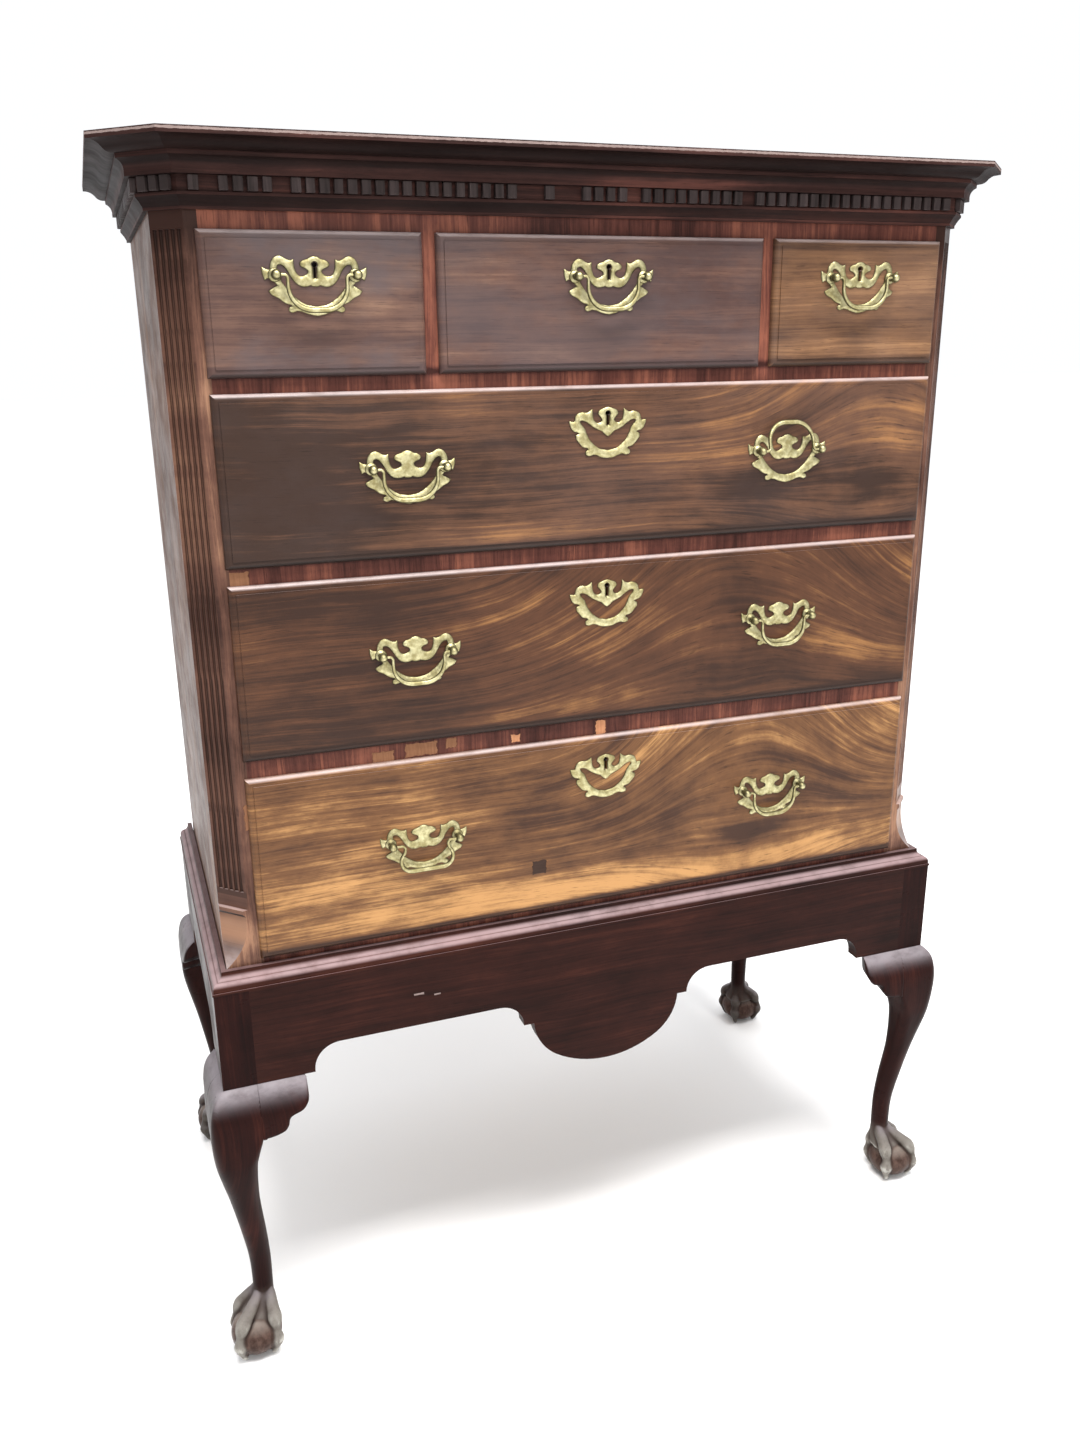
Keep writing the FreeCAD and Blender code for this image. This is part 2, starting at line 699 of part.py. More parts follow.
def build_inner_rails():
    """The back rail, and the ledgers glued inside the aprons to carry the case."""
    across = (f"-{STAND_HALF} + leg_stile", f"{STAND_HALF} - leg_stile")
    height = (f"{STAND_TOP} - ledger", STAND_TOP)
    front = f"({STAND_FRONT} + apron_board)"
    along = (f"{STAND_FRONT} + leg_stile", f"{STAND_BACK} - leg_stile")
    beside = (f"-{STAND_HALF} + apron_board", f"-{STAND_HALF} + apron_board + ledger")
    group("inner_rails", [
        board("back_rail", across, (f"{STAND_BACK} - apron_board", STAND_BACK),
              ("leg_height + apron_arch_rise", STAND_TOP)),
        board("ledger_front", across, (front, f"{front} + ledger"), height),
        board("ledger_left", beside, along, height),
        board("ledger_right", mirrored(beside), along, height),
    ])


# --------------------------------------------------------------------------- cabriole legs
# Each section of a leg: its height, how far its outer face stands inside the apron's face and how far
# its inner face does, then the radius of its outer and inner corners and that of the two beside the
# brackets, as shares of the stile's width.  The ankle stands on the foot, so the lowest two sections
# keep their height above the ball when the leg is made longer.
LEG_SECTIONS = [
    ("leg_height", "0", "leg_stile", 0.045, 0.012),
    ("leg_height * 0.981", "-knee_swell * 0.42", "leg_stile", 0.11, 0.014),
    ("leg_height * 0.944", "-knee_swell * 0.77", "leg_stile", 0.20, 0.016),
    ("leg_height * 0.884", "-knee_swell * 0.97", "leg_stile", 0.27, 0.018),
    ("leg_height * 0.838", "-knee_swell", "leg_stile * 0.993", 0.32, 0.04),
    ("leg_height * 0.775", "-knee_swell * 0.95", "leg_stile * 0.86", 0.40, 0.20),
    ("leg_height * 0.715", "-knee_swell * 0.80", "leg_stile * 0.77", 0.42, 0.33),
    ("leg_height * 0.579", "-knee_swell * 0.22", "leg_stile * 0.75", 0.41, 0.38),
    ("leg_height * 0.433", "leg_stile * 0.16", "leg_stile * 0.865", 0.33, 0.33),
    ("leg_height * 0.289", "leg_stile * 0.32", "leg_stile * 0.94", 0.29, 0.29),
    ("ball_radius * 2.58", "leg_stile * 0.29", "leg_stile * 0.93", 0.30, 0.30),
    ("ball_radius * 1.8", "leg_stile * 0.03", "leg_stile * 0.90", 0.37, 0.37),
]
# Each talon: the way it points, in degrees, and its sections as shares of the ball's radius: height,
# how far out and how far sideways the middle is from the middle of the ball, and radius.
TALONS = {
    "outer": (0, [
        (2.75, -0.42, 0, 0.19), (2.3, -0.24, 0, 0.21), (1.95, 0.10, 0, 0.24), (1.55, 0.72, 0, 0.26),
        (1.05, 0.98, 0, 0.24), (0.5, 0.96, 0, 0.21), (0, 0.78, 0, 0.14)]),
    "inner": (180, [
        (2.75, 0.78, 0, 0.17), (2.0, 0.78, 0, 0.20), (1.45, 0.90, 0, 0.23), (0.95, 0.99, 0, 0.22),
        (0.45, 0.95, 0, 0.19), (0, 0.77, 0, 0.14)]),
    "near": (-90, [
        (2.75, 0.16, -0.56, 0.20), (2.2, 0.28, -0.46, 0.22), (1.75, 0.60, -0.22, 0.24),
        (1.35, 0.87, -0.06, 0.25), (0.9, 0.99, 0, 0.23), (0.45, 0.95, 0, 0.20), (0, 0.77, 0, 0.14)]),
    "far": (90, [
        (2.75, 0.16, 0.56, 0.20), (2.2, 0.28, 0.46, 0.22), (1.75, 0.60, 0.22, 0.24),
        (1.35, 0.87, 0.06, 0.25), (0.9, 0.99, 0, 0.23), (0.45, 0.95, 0, 0.20), (0, 0.77, 0, 0.14)]),
}


def leg_section(sketch, outer, inner, radius, side_radius):
    """A rounded square in the leg's frame, one corner of it pointing along X."""
    reach = size("foot_inset") * math.sqrt(2)
    centre = reach - (outer + inner) / math.sqrt(2)
    half_side = (inner - outer) / 2
    arcs = []
    for quarter in range(4):
        bend = side_radius if quarter % 2 else radius
        corner = quarter * math.pi / 2
        out = (half_side - bend) * math.sqrt(2)
        middle = Vector(centre + out * math.cos(corner), out * math.sin(corner), 0)
        whole = Part.Circle(middle, Vector(0, 0, 1), bend)
        arcs.append(Part.ArcOfCircle(whole, corner - math.pi / 4, corner + math.pi / 4))
    for index, arc in enumerate(arcs):
        sketch.addGeometry(arc)
        sketch.addGeometry(Part.LineSegment(arc.EndPoint, arcs[(index + 1) % 4].StartPoint))


def build_leg(label, x_sign, y_sign):
    """A leg in a frame whose origin is under the ball and whose X points out along the diagonal."""
    leg = new_body(label)
    sections = []
    stile_width = size("leg_stile")
    for index, (height, outer, inner, radius, side_radius) in enumerate(LEG_SECTIONS):
        sketch = new_sketch(leg, f"{label}_section_{index + 1}", "XY_Plane", height)
        leg_section(sketch, size(outer), size(inner), radius * stile_width, side_radius * stile_width)
        sections.append(sketch)
    loft = leg.newObject("PartDesign::AdditiveLoft", f"{label}_shank")
    loft.Profile = sections[0]
    loft.Sections = sections[1:]

    stile = new_sketch(leg, f"{label}_stile", "XY_Plane", "leg_height")
    corner = "foot_inset * sqrt(2)"
    side = "leg_stile * sqrt(2)"
    draw_polygon(stile, [(corner, "0"), (f"{corner} - {side} / 2", f"{side} / 2"),
                         (f"{corner} - {side}", "0"), (f"{corner} - {side} / 2", f"-{side} / 2")])
    pad(leg, stile, "apron_height")

    ball = leg.newObject("PartDesign::AdditiveSphere", f"{label}_ball")
    ball.setExpression("Radius", full("ball_radius"))
    ball.AttachmentSupport = [(origin_feature(leg, "XY_Plane"), "")]
    ball.MapMode = "FlatFace"
    ball.setExpression("AttachmentOffset.Base.z", full("ball_height"))

    for talon, (way, sections) in TALONS.items():
        rings = []
        for index, (height, out, aside, radius) in enumerate(sections):
            ring = new_sketch(leg, f"{label}_{talon}_{index + 1}", "XY_Plane", f"{height} * ball_radius")
            cosine = round(math.cos(math.radians(way)), 9)
            sine = round(math.sin(math.radians(way)), 9)
            circle(ring, f"({out * cosine - aside * sine}) * ball_radius",
                   f"({out * sine + aside * cosine}) * ball_radius", f"{radius} * ball_radius")
            rings.append(ring)
        claw = leg.newObject("PartDesign::AdditiveLoft", f"{label}_{talon}_talon")
        claw.Profile = rings[0]
        claw.Sections = rings[1:]
        claw.Refine = False

    ground = new_sketch(leg, f"{label}_ground", "XY_Plane")
    wide = "3 * ball_radius"
    draw_rectangle(ground, (f"-{wide}", wide), (f"-{wide}", wide))
    pocket(leg, ground, "ball_radius")

    quarter = {(1, -1): -45, (1, 1): 45, (-1, 1): 135, (-1, -1): -135}[(x_sign, y_sign)]
    wall = STAND_FRONT if y_sign < 0 else STAND_BACK
    place(leg, f"{x_sign} * ({STAND_HALF} - foot_inset)", f"{wall} - {y_sign} * foot_inset", "0",
          about_z(quarter))
    keep(leg, label)


def build_legs():
    for side, x_sign in (("left", -1), ("right", 1)):
        for end, y_sign in (("front", -1), ("back", 1)):
            build_leg(f"leg_{end}_{side}", x_sign, y_sign)


# --------------------------------------------------------------------------- knee brackets
def build_bracket(name, hand, x, y, turn):
    """A shaped bracket beside a knee, in a frame whose origin is the top corner next to the leg and
    whose -Y looks out.  It runs along +X for hand 1 and along -X for hand -1."""
    body = new_body(name)
    outline = new_sketch(body, f"{name}_outline", "XZ_Plane", "knee_swell + 1")

    def at(along, down):
        return (f"{hand} * ({along})", f"-({down})")

    draw_outline(outline, at("bracket_joint", "0"), [
        [at("bracket_width", "0")],
        [at("bracket_width", "bracket_height * 0.34")],
        [at("bracket_width * 0.92", "bracket_height * 0.52"),
         at("bracket_width * 0.66", "bracket_height * 0.64")],
        [at("bracket_width * 0.56", "bracket_height * 0.71"),
         at("bracket_width * 0.53", "bracket_height * 0.82")],
        [at("bracket_width * 0.44", "bracket_height * 0.93"),
         at("bracket_width * 0.16", "bracket_height * 0.99")],
        [at("bracket_joint", "bracket_height")],
        [at("bracket_joint", "0")],
    ])
    pad(body, outline, "bracket_depth + knee_swell + 1", reverse=True)

    face = new_sketch(body, f"{name}_face", "YZ_Plane", "-bracket_width - 2")
    draw_outline(face, ("-knee_swell - 3", "2"), [
        [("0", "2")],
        [("0", "0")],
        [("-knee_swell * 0.42", "-leg_height * 0.019"), ("-knee_swell * 0.77", "-leg_height * 0.056")],
        [("-knee_swell * 0.97", "-leg_height * 0.116"), ("-knee_swell", "-leg_height * 0.162")],
        [("-knee_swell", "-bracket_height - 2")],
        [("-knee_swell - 3", "-bracket_height - 2")],
        [("-knee_swell - 3", "2")],
    ])
    pocket(body, face, "2 * bracket_width + 4", reverse=True)
    place(body, x, y, "leg_height", about_z(turn))
    return body


def build_brackets():
    """Two brackets on the front and two on each side; the back of the stand has none."""
    inner = f"({STAND_HALF} - leg_stile)"
    front_end = f"({STAND_FRONT} + leg_stile)"
    back_end = f"({STAND_BACK} - leg_stile)"
    pieces = [
        build_bracket("bracket_front_left", 1, f"-{inner}", STAND_FRONT, 0),
        build_bracket("bracket_front_right", -1, inner, STAND_FRONT, 0),
        build_bracket("bracket_left_front", -1, f"-{STAND_HALF}", front_end, -90),
        build_bracket("bracket_left_back", 1, f"-{STAND_HALF}", back_end, -90),
        build_bracket("bracket_right_front", 1, STAND_HALF, front_end, 90),
        build_bracket("bracket_right_back", -1, STAND_HALF, back_end, 90),
    ]
    group("knee_brackets", pieces)


# --------------------------------------------------------------------------- brass plates
PLATE_DRAWN_FOR = 89


def handle_plate_half():
    """Half of a pierced rococo plate, from the middle of its crest round to the middle of its foot, and
    half of its opening, with the origin midway between the posts.  Each run is one smooth curve, and
    runs meet in corners.  The outlines are drawn for posts that stand PLATE_DRAWN_FOR apart."""
    outside = [
        [(0, 20), (-4.2, 19), (-7.8, 17), (-12.6, 15.6), (-15.8, 13.4), (-16.4, 10.8), (-14.4, 8.4),
         (-10.6, 7)],
        [(-10.6, 7), (-8, 5), (-8.2, 2.4), (-11, 0.2), (-15, -1), (-18.6, 0.4), (-21.2, 4.6), (-22.4, 10.4),
         (-22.8, 16.8)],
        [(-22.8, 16.8), (-26, 15.6), (-30.4, 16.6), (-35, 19.3), (-39.4, 20.2), (-44, 18.2), (-47.4, 14),
         (-48.9, 9.4), (-49.2, 5.6)],
        [(-49.2, 5.6), (-53, 6.4), (-57.8, 9)],
        [(-57.8, 9), (-58, 2.6), (-55.4, -5.4)],
        [(-55.4, -5.4), (-51.5, -3.6), (-47.2, -5.6), (-42, -10.6)],
        [(-42, -10.6), (-47.4, -13.4), (-52.2, -16.4)],
        [(-52.2, -16.4), (-48.8, -20.6), (-42, -24), (-36.6, -28), (-31, -30.6)],
        [(-31, -30.6), (-28.6, -31), (-27.6, -32)],
        [(-27.6, -32), (-31, -33.8), (-31.4, -37), (-28, -39), (-24.6, -38.4), (-21.8, -37.2)],
        [(-21.8, -37.2), (-16, -38.4), (-9, -41), (0, -42.8)],
    ]
    inside = [
        [(0, -12), (-3.6, -11.6), (-5, -10.6)],
        [(-5, -10.6), (-9, -11.8), (-14.8, -12), (-21.4, -8.6), (-26.4, -2.4), (-29.8, 3.6), (-33.4, 8.2),
         (-37.6, 10.8), (-40.8, 10)],
        [(-40.8, 10), (-41, 5.6), (-38.8, 0), (-37.6, -5.4), (-34, -11), (-28.8, -17.6), (-22, -24),
         (-12, -30.2), (0, -32.4)],
    ]
    return outside, inside


def escutcheon_half():
    """Half of the plate round a long drawer's keyhole, drawn in the same way from the key's middle."""
    outside = [
        [(0, 8), (-6, 6.4), (-11.5, 4), (-13.6, -0.2), (-10.4, -4.2)],
        [(-10.4, -4.2), (-8.4, -7.4), (-10.6, -10.4), (-14.8, -10.9), (-19, -7), (-20.4, -0.8), (-21.2, 6)],
        [(-21.2, 6), (-25, 3.4), (-29, 1.6), (-34.4, 2.4), (-39.8, 1), (-43.5, -2.3), (-45.4, -8.8)],
        [(-45.4, -8.8), (-52, -8.2)],
        [(-52, -8.2), (-51.4, -12), (-48.8, -17.8), (-45.2, -21)],
        [(-45.2, -21), (-38.6, -23)],
        [(-38.6, -23), (-43.2, -25.2)],
        [(-43.2, -25.2), (-42.8, -30), (-39.4, -34.2), (-34.7, -39.4), (-29.9, -41.2)],
        [(-29.9, -41.2), (-27.6, -41.6), (-26.8, -42.8)],
        [(-26.8, -42.8), (-30, -45.4), (-29.8, -49.4), (-25.2, -51.2), (-19.7, -49.8)],
        [(-19.7, -49.8), (-14.3, -51), (-8, -53.6), (0, -54.5)],
    ]
    inside = [
        [(0, -28.1), (-4, -25.7), (-8.1, -21.7)],
        [(-8.1, -21.7), (-13.5, -19.5), (-19.6, -16.5), (-25, -12.5), (-30.3, -9.3), (-34.8, -8),
         (-37.6, -8.6)],
        [(-37.6, -8.6), (-36.2, -11.4), (-31.1, -17.4), (-28.4, -23.8), (-24.4, -31), (-18.3, -37.3),
         (-10.9, -42.2), (0, -44.5)],
    ]
    return outside, inside


def plate_wire(half):
    """Close a half outline with its mirror image, at the size that the posts' spacing asks for."""
    scale = size("post_spacing") / PLATE_DRAWN_FOR
    edges = []
    for side in (1, -1):
        for run in half:
            points = [Vector(side * x * scale, 0, z * scale) for x, z in run]
            if len(points) == 2:
                edges.append(Part.LineSegment(*points).toShape())
            else:
                curve = Part.BSplineCurve()
                curve.interpolate(points)
                edges.append(curve.toShape())
    return Part.Wire(Part.__sortEdges__(edges))


def build_plate_shape(halves, posted, key_height):
    """A pierced plate standing on Y = 0 with its front towards -Y, bored for its posts, and for its key
    where it has one."""
    outside, inside = [Part.Face(plate_wire(half)) for half in halves]
    thickness = size("plate_thickness")
    solid = outside.cut(inside).extrude(Vector(0, -thickness, 0))
    if posted:
        for side in (-1, 1):
            start = Vector(side * size("post_spacing") / 2, thickness / 2, 0)
            radius = size("post_shank_radius + post_hole_play")
            solid = solid.cut(Part.makeCylinder(radius, 2 * thickness, start, Vector(0, -1, 0)))
    if key_height is not None:
        height = size(key_height)
        eye = Part.makeCylinder(size("keyhole_radius"), 2 * thickness, Vector(0, thickness / 2, height),
                                Vector(0, -1, 0))
        slot_width = size("keyhole_slot")
        slot = Part.makeBox(slot_width, 2 * thickness, size("keyhole_length"),
                            Vector(-slot_width / 2, -1.5 * thickness, height - size("keyhole_length")))
        solid = solid.cut(eye).cut(slot)
    return solid


def add_plate(name, shape, x, y, z):
    plate = doc.addObject("Part::Feature", name)
    plate.Shape = shape
    place(plate, x, y, z)
    return plate


def build_post(name, side, x, y, z):
    """A post with a round head, bored from the inner side for the bail, its shank through the
    drawer front and a nut behind it."""
    towards_back = Rotation(Vector(1, 0, 0), -90)
    centre = f"{y} - plate_thickness - post_reach"
    shank = cylinder(f"{name}_shank", "post_shank_radius", SHANK_LENGTH, x, centre, z, towards_back)
    neck = cylinder(f"{name}_neck", "post_neck_radius", "post_reach", x, centre, z, towards_back)
    nut = cylinder(f"{name}_nut", "nut_radius", "nut_thickness", x, NUT_FACE, z, towards_back)
    head = doc.addObject("Part::Sphere", f"{name}_head")
    bind(head, Radius="post_ball_radius")
    place(head, x, centre, z)
    solid = fuse(f"{name}_solid", [shank, neck, nut, head])
    bore = cylinder(f"{name}_bore", "bail_pin_radius + bail_bore_play", "post_ball_radius * 1.6",
                    x, centre, z, Rotation(Vector(0, 1, 0), -90 * side))
    return cut(name, solid, bore)


NUT_FACE = f"({FRONT} + front_thickness)"
SHANK_LENGTH = "post_reach + plate_thickness + lip_thickness + field_rise + front_thickness + nut_thickness"
FIELD_FACE = f"({FRONT} - lip_thickness - field_rise)"


# --------------------------------------------------------------------------- bails
BAIL_END = "(post_spacing / 2 - post_ball_radius - bail_bore_play)"


def swan_neck(side, turn, low):
    """An arc that swings out from the post and a tighter one that brings the wire round to the foot."""
    swing = math.radians(38)
    sine, cosine = round(math.sin(swing), 6), round(math.cos(swing), 6)
    outward = "14"
    inward = f"((-({low}) - {turn} - {outward} * {sine}) / (1 + {sine}))"
    half = swing / 2
    halfway = (f"-{side} - {outward} * {1 - math.cos(half):.6f}",
               f"-{turn} - {outward} * {math.sin(half):.6f}")
    parting = (f"-{side} - {outward} * (1 - {cosine})", f"-{turn} - {outward} * {sine}")
    middle = (f"{parting[0]} + {inward} * {cosine}", f"{parting[1]} - {inward} * {sine}")
    lean = math.radians(225) - half
    belly = (f"{middle[0]} + {inward} * ({math.cos(lean):.6f})",
             f"{middle[1]} + {inward} * ({math.sin(lean):.6f})")
    return [[halfway, parting], [belly, (middle[0], low)]]


def bail_path(swan_necked):
    """The bail's centre line as an outline, from the inner face of one post to that of the other.  Its
    runs leave each other along their tangents."""
    turn = "4"
    bend = f"{turn} * (1 - 1 / sqrt(2))"
    side = "(bail_half_width - 4)" if swan_necked else "bail_half_width"
    left = [
        [(f"-{side} - {turn}", "0")],
        [(f"-{side} - {bend}", f"-{bend}"), (f"-{side}", f"-{turn}")],
    ]
    if swan_necked:
        left += swan_neck(side, turn, "-bail_drop")
    else:
        corner = "bail_corner_radius"
        left += [
            [(f"-{side}", f"-bail_drop + {corner}")],
            [(f"-{side} + {corner} * (1 - 1 / sqrt(2))", f"-bail_drop + {corner} * (1 - 1 / sqrt(2))"),
             (f"-{side} + {corner}", "-bail_drop")],
        ]
    start = (f"-{BAIL_END}", "0")
    points = [start] + [point for step in left for point in step]
    flipped = [(f"-({x})", z) for x, z in reversed(points)]
    right = [[flipped[0]]]
    walked = 1
    for step in reversed(left):
        right.append(flipped[walked:walked + len(step)])
        walked += len(step)
    return start, left + right


def build_bail(label, swan_necked, x, z, flipped):
    """A bail in a frame whose origin is midway between its pins, hanging down or flipped up."""
    body = new_body(label)
    start, steps = bail_path(swan_necked)
    path = new_sketch(body, f"{label}_path", "XZ_Plane")
    draw_outline(path, start, steps)
    section = new_sketch(body, f"{label}_section", "YZ_Plane", start[0])
    circle(section, "0", "0", "bail_wire_radius")
    wire = body.newObject("PartDesign::AdditivePipe", f"{label}_wire")
    wire.Profile = section
    wire.Spine = (path, [f"Edge{index + 1}" for index in range(path.GeometryCount)])
    wire.Transition = "Transformed"
    for side, sign in (("left", "-"), ("right", "")):
        pin = new_sketch(body, f"{label}_pin_{side}", "YZ_Plane", f"{sign}{BAIL_END}")
        circle(pin, "0", "0", "bail_pin_radius")
        pad(body, pin, "post_ball_radius", reverse=side == "left")
    y = f"{FIELD_FACE} - plate_thickness - post_reach"
    turn = Rotation(Vector(1, 0, 0), -(180 + size("bail_lean")) if flipped else 0)
    place(body, x, y, z, turn)
    keep(body, label)


# --------------------------------------------------------------------------- drawers
def build_front(drawer):
    """A drawer front in a frame whose origin is the bottom middle of its opening."""
    name = drawer["name"]
    width, height = drawer["width"], drawer["height"]
    body = new_body(f"{name}_front")

    def rectangle(sketch, margin):
        draw_rectangle(sketch, (f"-({width}) / 2 - ({margin})", f"({width}) / 2 + ({margin})"),
                       (f"-({margin})", f"{height} + ({margin})"))

    lip = new_sketch(body, f"{name}_lip", "XZ_Plane")
    rectangle(lip, "lip_lap")
    lip_pad = pad(body, lip, "lip_thickness")
    doc.recompute()
    face = -size("lip_thickness")
    rim = [f"Edge{number}" for number, edge in enumerate(lip_pad.Shape.Edges, start=1)
           if all(abs(vertex.Y - face) < 1e-6 for vertex in edge.Vertexes)]
    thumb = body.newObject("PartDesign::Fillet", f"{name}_thumb_mould")
    thumb.Base = (lip_pad, rim)
    thumb.setExpression("Radius", full("lip_mould"))

    field = new_sketch(body, f"{name}_field", "XZ_Plane")
    rectangle(field, "lip_lap - field_inset")
    pad(body, field, "lip_thickness + field_rise")
    core = new_sketch(body, f"{name}_core", "XZ_Plane")
    rectangle(core, "-drawer_gap")
    pad(body, core, "front_thickness", reverse=True)

    holes = new_sketch(body, f"{name}_holes", "XZ_Plane", "lip_thickness + field_rise + 1")
    for handle in drawer["handles"]:
        for side in ("-", "+"):
            circle(holes, f"{handle} {side} post_spacing / 2", drawer["post_height"],
                   "post_shank_radius + post_hole_play")
    pocket(body, holes, "lip_thickness + field_rise + front_thickness + 2")
    eye = new_sketch(body, f"{name}_key_eye", "XZ_Plane", "lip_thickness + field_rise + 1")
    circle(eye, "0", drawer["key_height"], "keyhole_radius")
    pocket(body, eye, "lip_thickness + field_rise + front_thickness + 2")
    slot = new_sketch(body, f"{name}_key_slot", "XZ_Plane", "lip_thickness + field_rise + 1")
    draw_rectangle(slot, ("-keyhole_slot / 2", "keyhole_slot / 2"),
                   (f"{drawer['key_height']} - keyhole_length", drawer["key_height"]))
    pocket(body, slot, "lip_thickness + field_rise + front_thickness + 2")
    place(body, drawer["x"], FRONT, drawer["floor"])
    keep(body, f"{name}_front")


def build_box(drawer):
    """Two sides, a back and a bottom, behind the front."""
    name, x, floor = drawer["name"], drawer["x"], drawer["floor"]
    outer = f"(({drawer['width']}) / 2 - drawer_gap)"
    inner = f"({outer} - drawer_side)"
    front = f"{FRONT} + front_thickness"
    back = f"{INNER_BACK} - drawer_back_clearance"
    base = f"{floor} + drawer_gap"
    ceiling = f"{floor} + {drawer['height']} - drawer_gap"
    bottom = (f"{base} + drawer_bottom_lift", f"{base} + drawer_bottom_lift + drawer_bottom")
    side_height = (base, f"{ceiling} - drawer_side_drop")
    group(f"{name}_box", [
        board(f"{name}_side_left", (f"{x} - {outer}", f"{x} - {inner}"), (front, back), side_height),
        board(f"{name}_side_right", (f"{x} + {inner}", f"{x} + {outer}"), (front, back), side_height),
        board(f"{name}_back", (f"{x} - {inner}", f"{x} + {inner}"), (f"{back} - drawer_side", back),
              (bottom[1], f"{ceiling} - drawer_back_drop")),
        board(f"{name}_bottom", (f"{x} - {inner}", f"{x} + {inner}"), (front, back), bottom),
    ])


def build_lock(drawer):
    """A lock case on the back of the front, open at the top for its bolt, and the bolt in it."""
    name, x = drawer["name"], drawer["x"]
    top = f"({drawer['floor']} + {drawer['height']} - drawer_gap)"
    front = f"({FRONT} + front_thickness)"
    middle = f"({front} + lock_thickness / 2)"
    case = board(f"{name}_lock_case", (f"{x} - lock_width / 2", f"{x} + lock_width / 2"),
                 (front, f"{front} + lock_thickness"), (f"{top} - lock_height", top))
    slot = board(f"{name}_bolt_slot",
                 (f"{x} - bolt_width / 2 - bolt_play", f"{x} + bolt_width / 2 + bolt_play"),
                 (f"{middle} - bolt_thickness / 2 - bolt_play", f"{middle} + bolt_thickness / 2 + bolt_play"),
                 (f"{top} - bolt_length - bolt_play", f"{top} + 1"))
    keep(cut(f"{name}_lock", case, slot), f"{name}_lock")
    bolt = board(f"{name}_bolt", (f"{x} - bolt_width / 2", f"{x} + bolt_width / 2"),
                 (f"{middle} - bolt_thickness / 2", f"{middle} + bolt_thickness / 2"),
                 (f"{top} - bolt_length", top))
    keep(bolt, f"{name}_bolt")


def build_brasses(drawer, plates):
    """The plates and posts of a drawer's handles, and the escutcheon of a long drawer."""
    name = drawer["name"]
    post_z = f"({drawer['floor']} + {drawer['post_height']})"
    keyed = "key" if drawer["short"] else "plain"
    pieces = []
    for number, handle in enumerate(drawer["handles"], start=1):
        x = f"({drawer['x']} + {handle})"
        pieces.append(add_plate(f"{name}_plate_{number}", plates[keyed], x, FIELD_FACE, post_z))
        for side, sign in (("left", -1), ("right", 1)):
            post_x = f"{x} + {sign} * post_spacing / 2"
            pieces.append(build_post(f"{name}_post_{number}_{side}", sign, post_x, FIELD_FACE, post_z))
    if not drawer["short"]:
        z = f"{drawer['floor']} + {drawer['key_height']}"
        pieces.append(add_plate(f"{name}_escutcheon", plates["escutcheon"], drawer["x"], FIELD_FACE, z))
    group(f"{name}_brasses", pieces)


def short_drawer(name, x, width):
    height = "opening_short"
    return {"name": name, "short": True, "x": x, "width": width, "floor": SHORT_FLOOR, "height": height,
            "handles": ["0"], "post_height": f"{height} - key_drop_short - key_above_posts",
            "key_height": f"{height} - key_drop_short", "bails": {"bail": ("0", False, False)}}


def long_drawer(name, floor, height, swan_left, flip_right):
    return {"name": name, "short": False, "x": "0", "width": OPENING_WIDTH, "floor": floor, "height": height,
            "handles": ["-handle_offset", "handle_offset"], "post_height": f"{height} * handle_level",
            "key_height": f"{height} - key_drop_long",
            "bails": {"bail_left": ("-handle_offset", swan_left, False),
                      "bail_right": ("handle_offset", False, flip_right)}}


DRAWERS = [
    short_drawer("short_left", f"-{SHORT_CENTRE}", SHORT_WIDTH),
    short_drawer("short_middle", "0", "middle_opening_width"),
    short_drawer("short_right", SHORT_CENTRE, SHORT_WIDTH),
    long_drawer("long_upper", UPPER_FLOOR, "opening_upper", False, True),
    long_drawer("long_middle", MIDDLE_FLOOR, "opening_middle", False, False),
    long_drawer("long_lower", LOWER_FLOOR, "opening_lower", True, False),
]


def build_drawers():
    plates = {"plain": build_plate_shape(handle_plate_half(), True, None),
              "key": build_plate_shape(handle_plate_half(), True, "key_above_posts"),
              "escutcheon": build_plate_shape(escutcheon_half(), False, "0")}
    for drawer in DRAWERS:
        build_front(drawer)
        build_box(drawer)
        build_lock(drawer)
        build_brasses(drawer, plates)
        for part, (handle, swan_necked, flipped) in drawer["bails"].items():
            build_bail(f"{drawer['name']}_{part}", swan_necked, f"{drawer['x']} + {handle}",
                       f"{drawer['floor']} + {drawer['post_height']}", flipped)


# --------------------------------------------------------------------------- build, test and write
build_case()
build_rails()
build_runners()
build_dust_boards()
build_corner_post("left", 1)
build_corner_post("right", -1)
build_cornice()
build_stand_moulding()
build_aprons()
build_inner_rails()
build_legs()
build_brackets()
build_drawers()
doc.recompute()

for item in doc.Objects:
    if "Invalid" in item.State or "Error" in item.State:
        raise RuntimeError(f"{item.Name} failed: {item.State}")
for node in NODES:
    if node.Shape.isNull() or not node.Shape.isValid() or not node.Shape.Solids:
        raise RuntimeError(f"{node.Label} has no valid solid")

os.makedirs("parts", exist_ok=True)
for node in NODES:
    node.Shape.exportStep(f"parts/{node.Label}.step")
    print(f"{node.Label}: {len(node.Shape.Solids)} solids, {node.Shape.Volume / 1000:.1f} cm3")
print(f"{len(NODES)} nodes")
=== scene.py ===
# %% [markdown]
# # A mahogany chest on stand
#
# The chest is built as joiner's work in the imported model: boards, rails, drawers, mouldings, legs.
# This script gives each board its wood, and makes the carved and cast parts again with the softness
# that the carver's gouge and the founder's sand leave.

# %% Load the frame
import bmesh
import bpy
import math
import numpy as np
from mathutils import Matrix, Vector
from mathutils.geometry import delaunay_2d_cdt


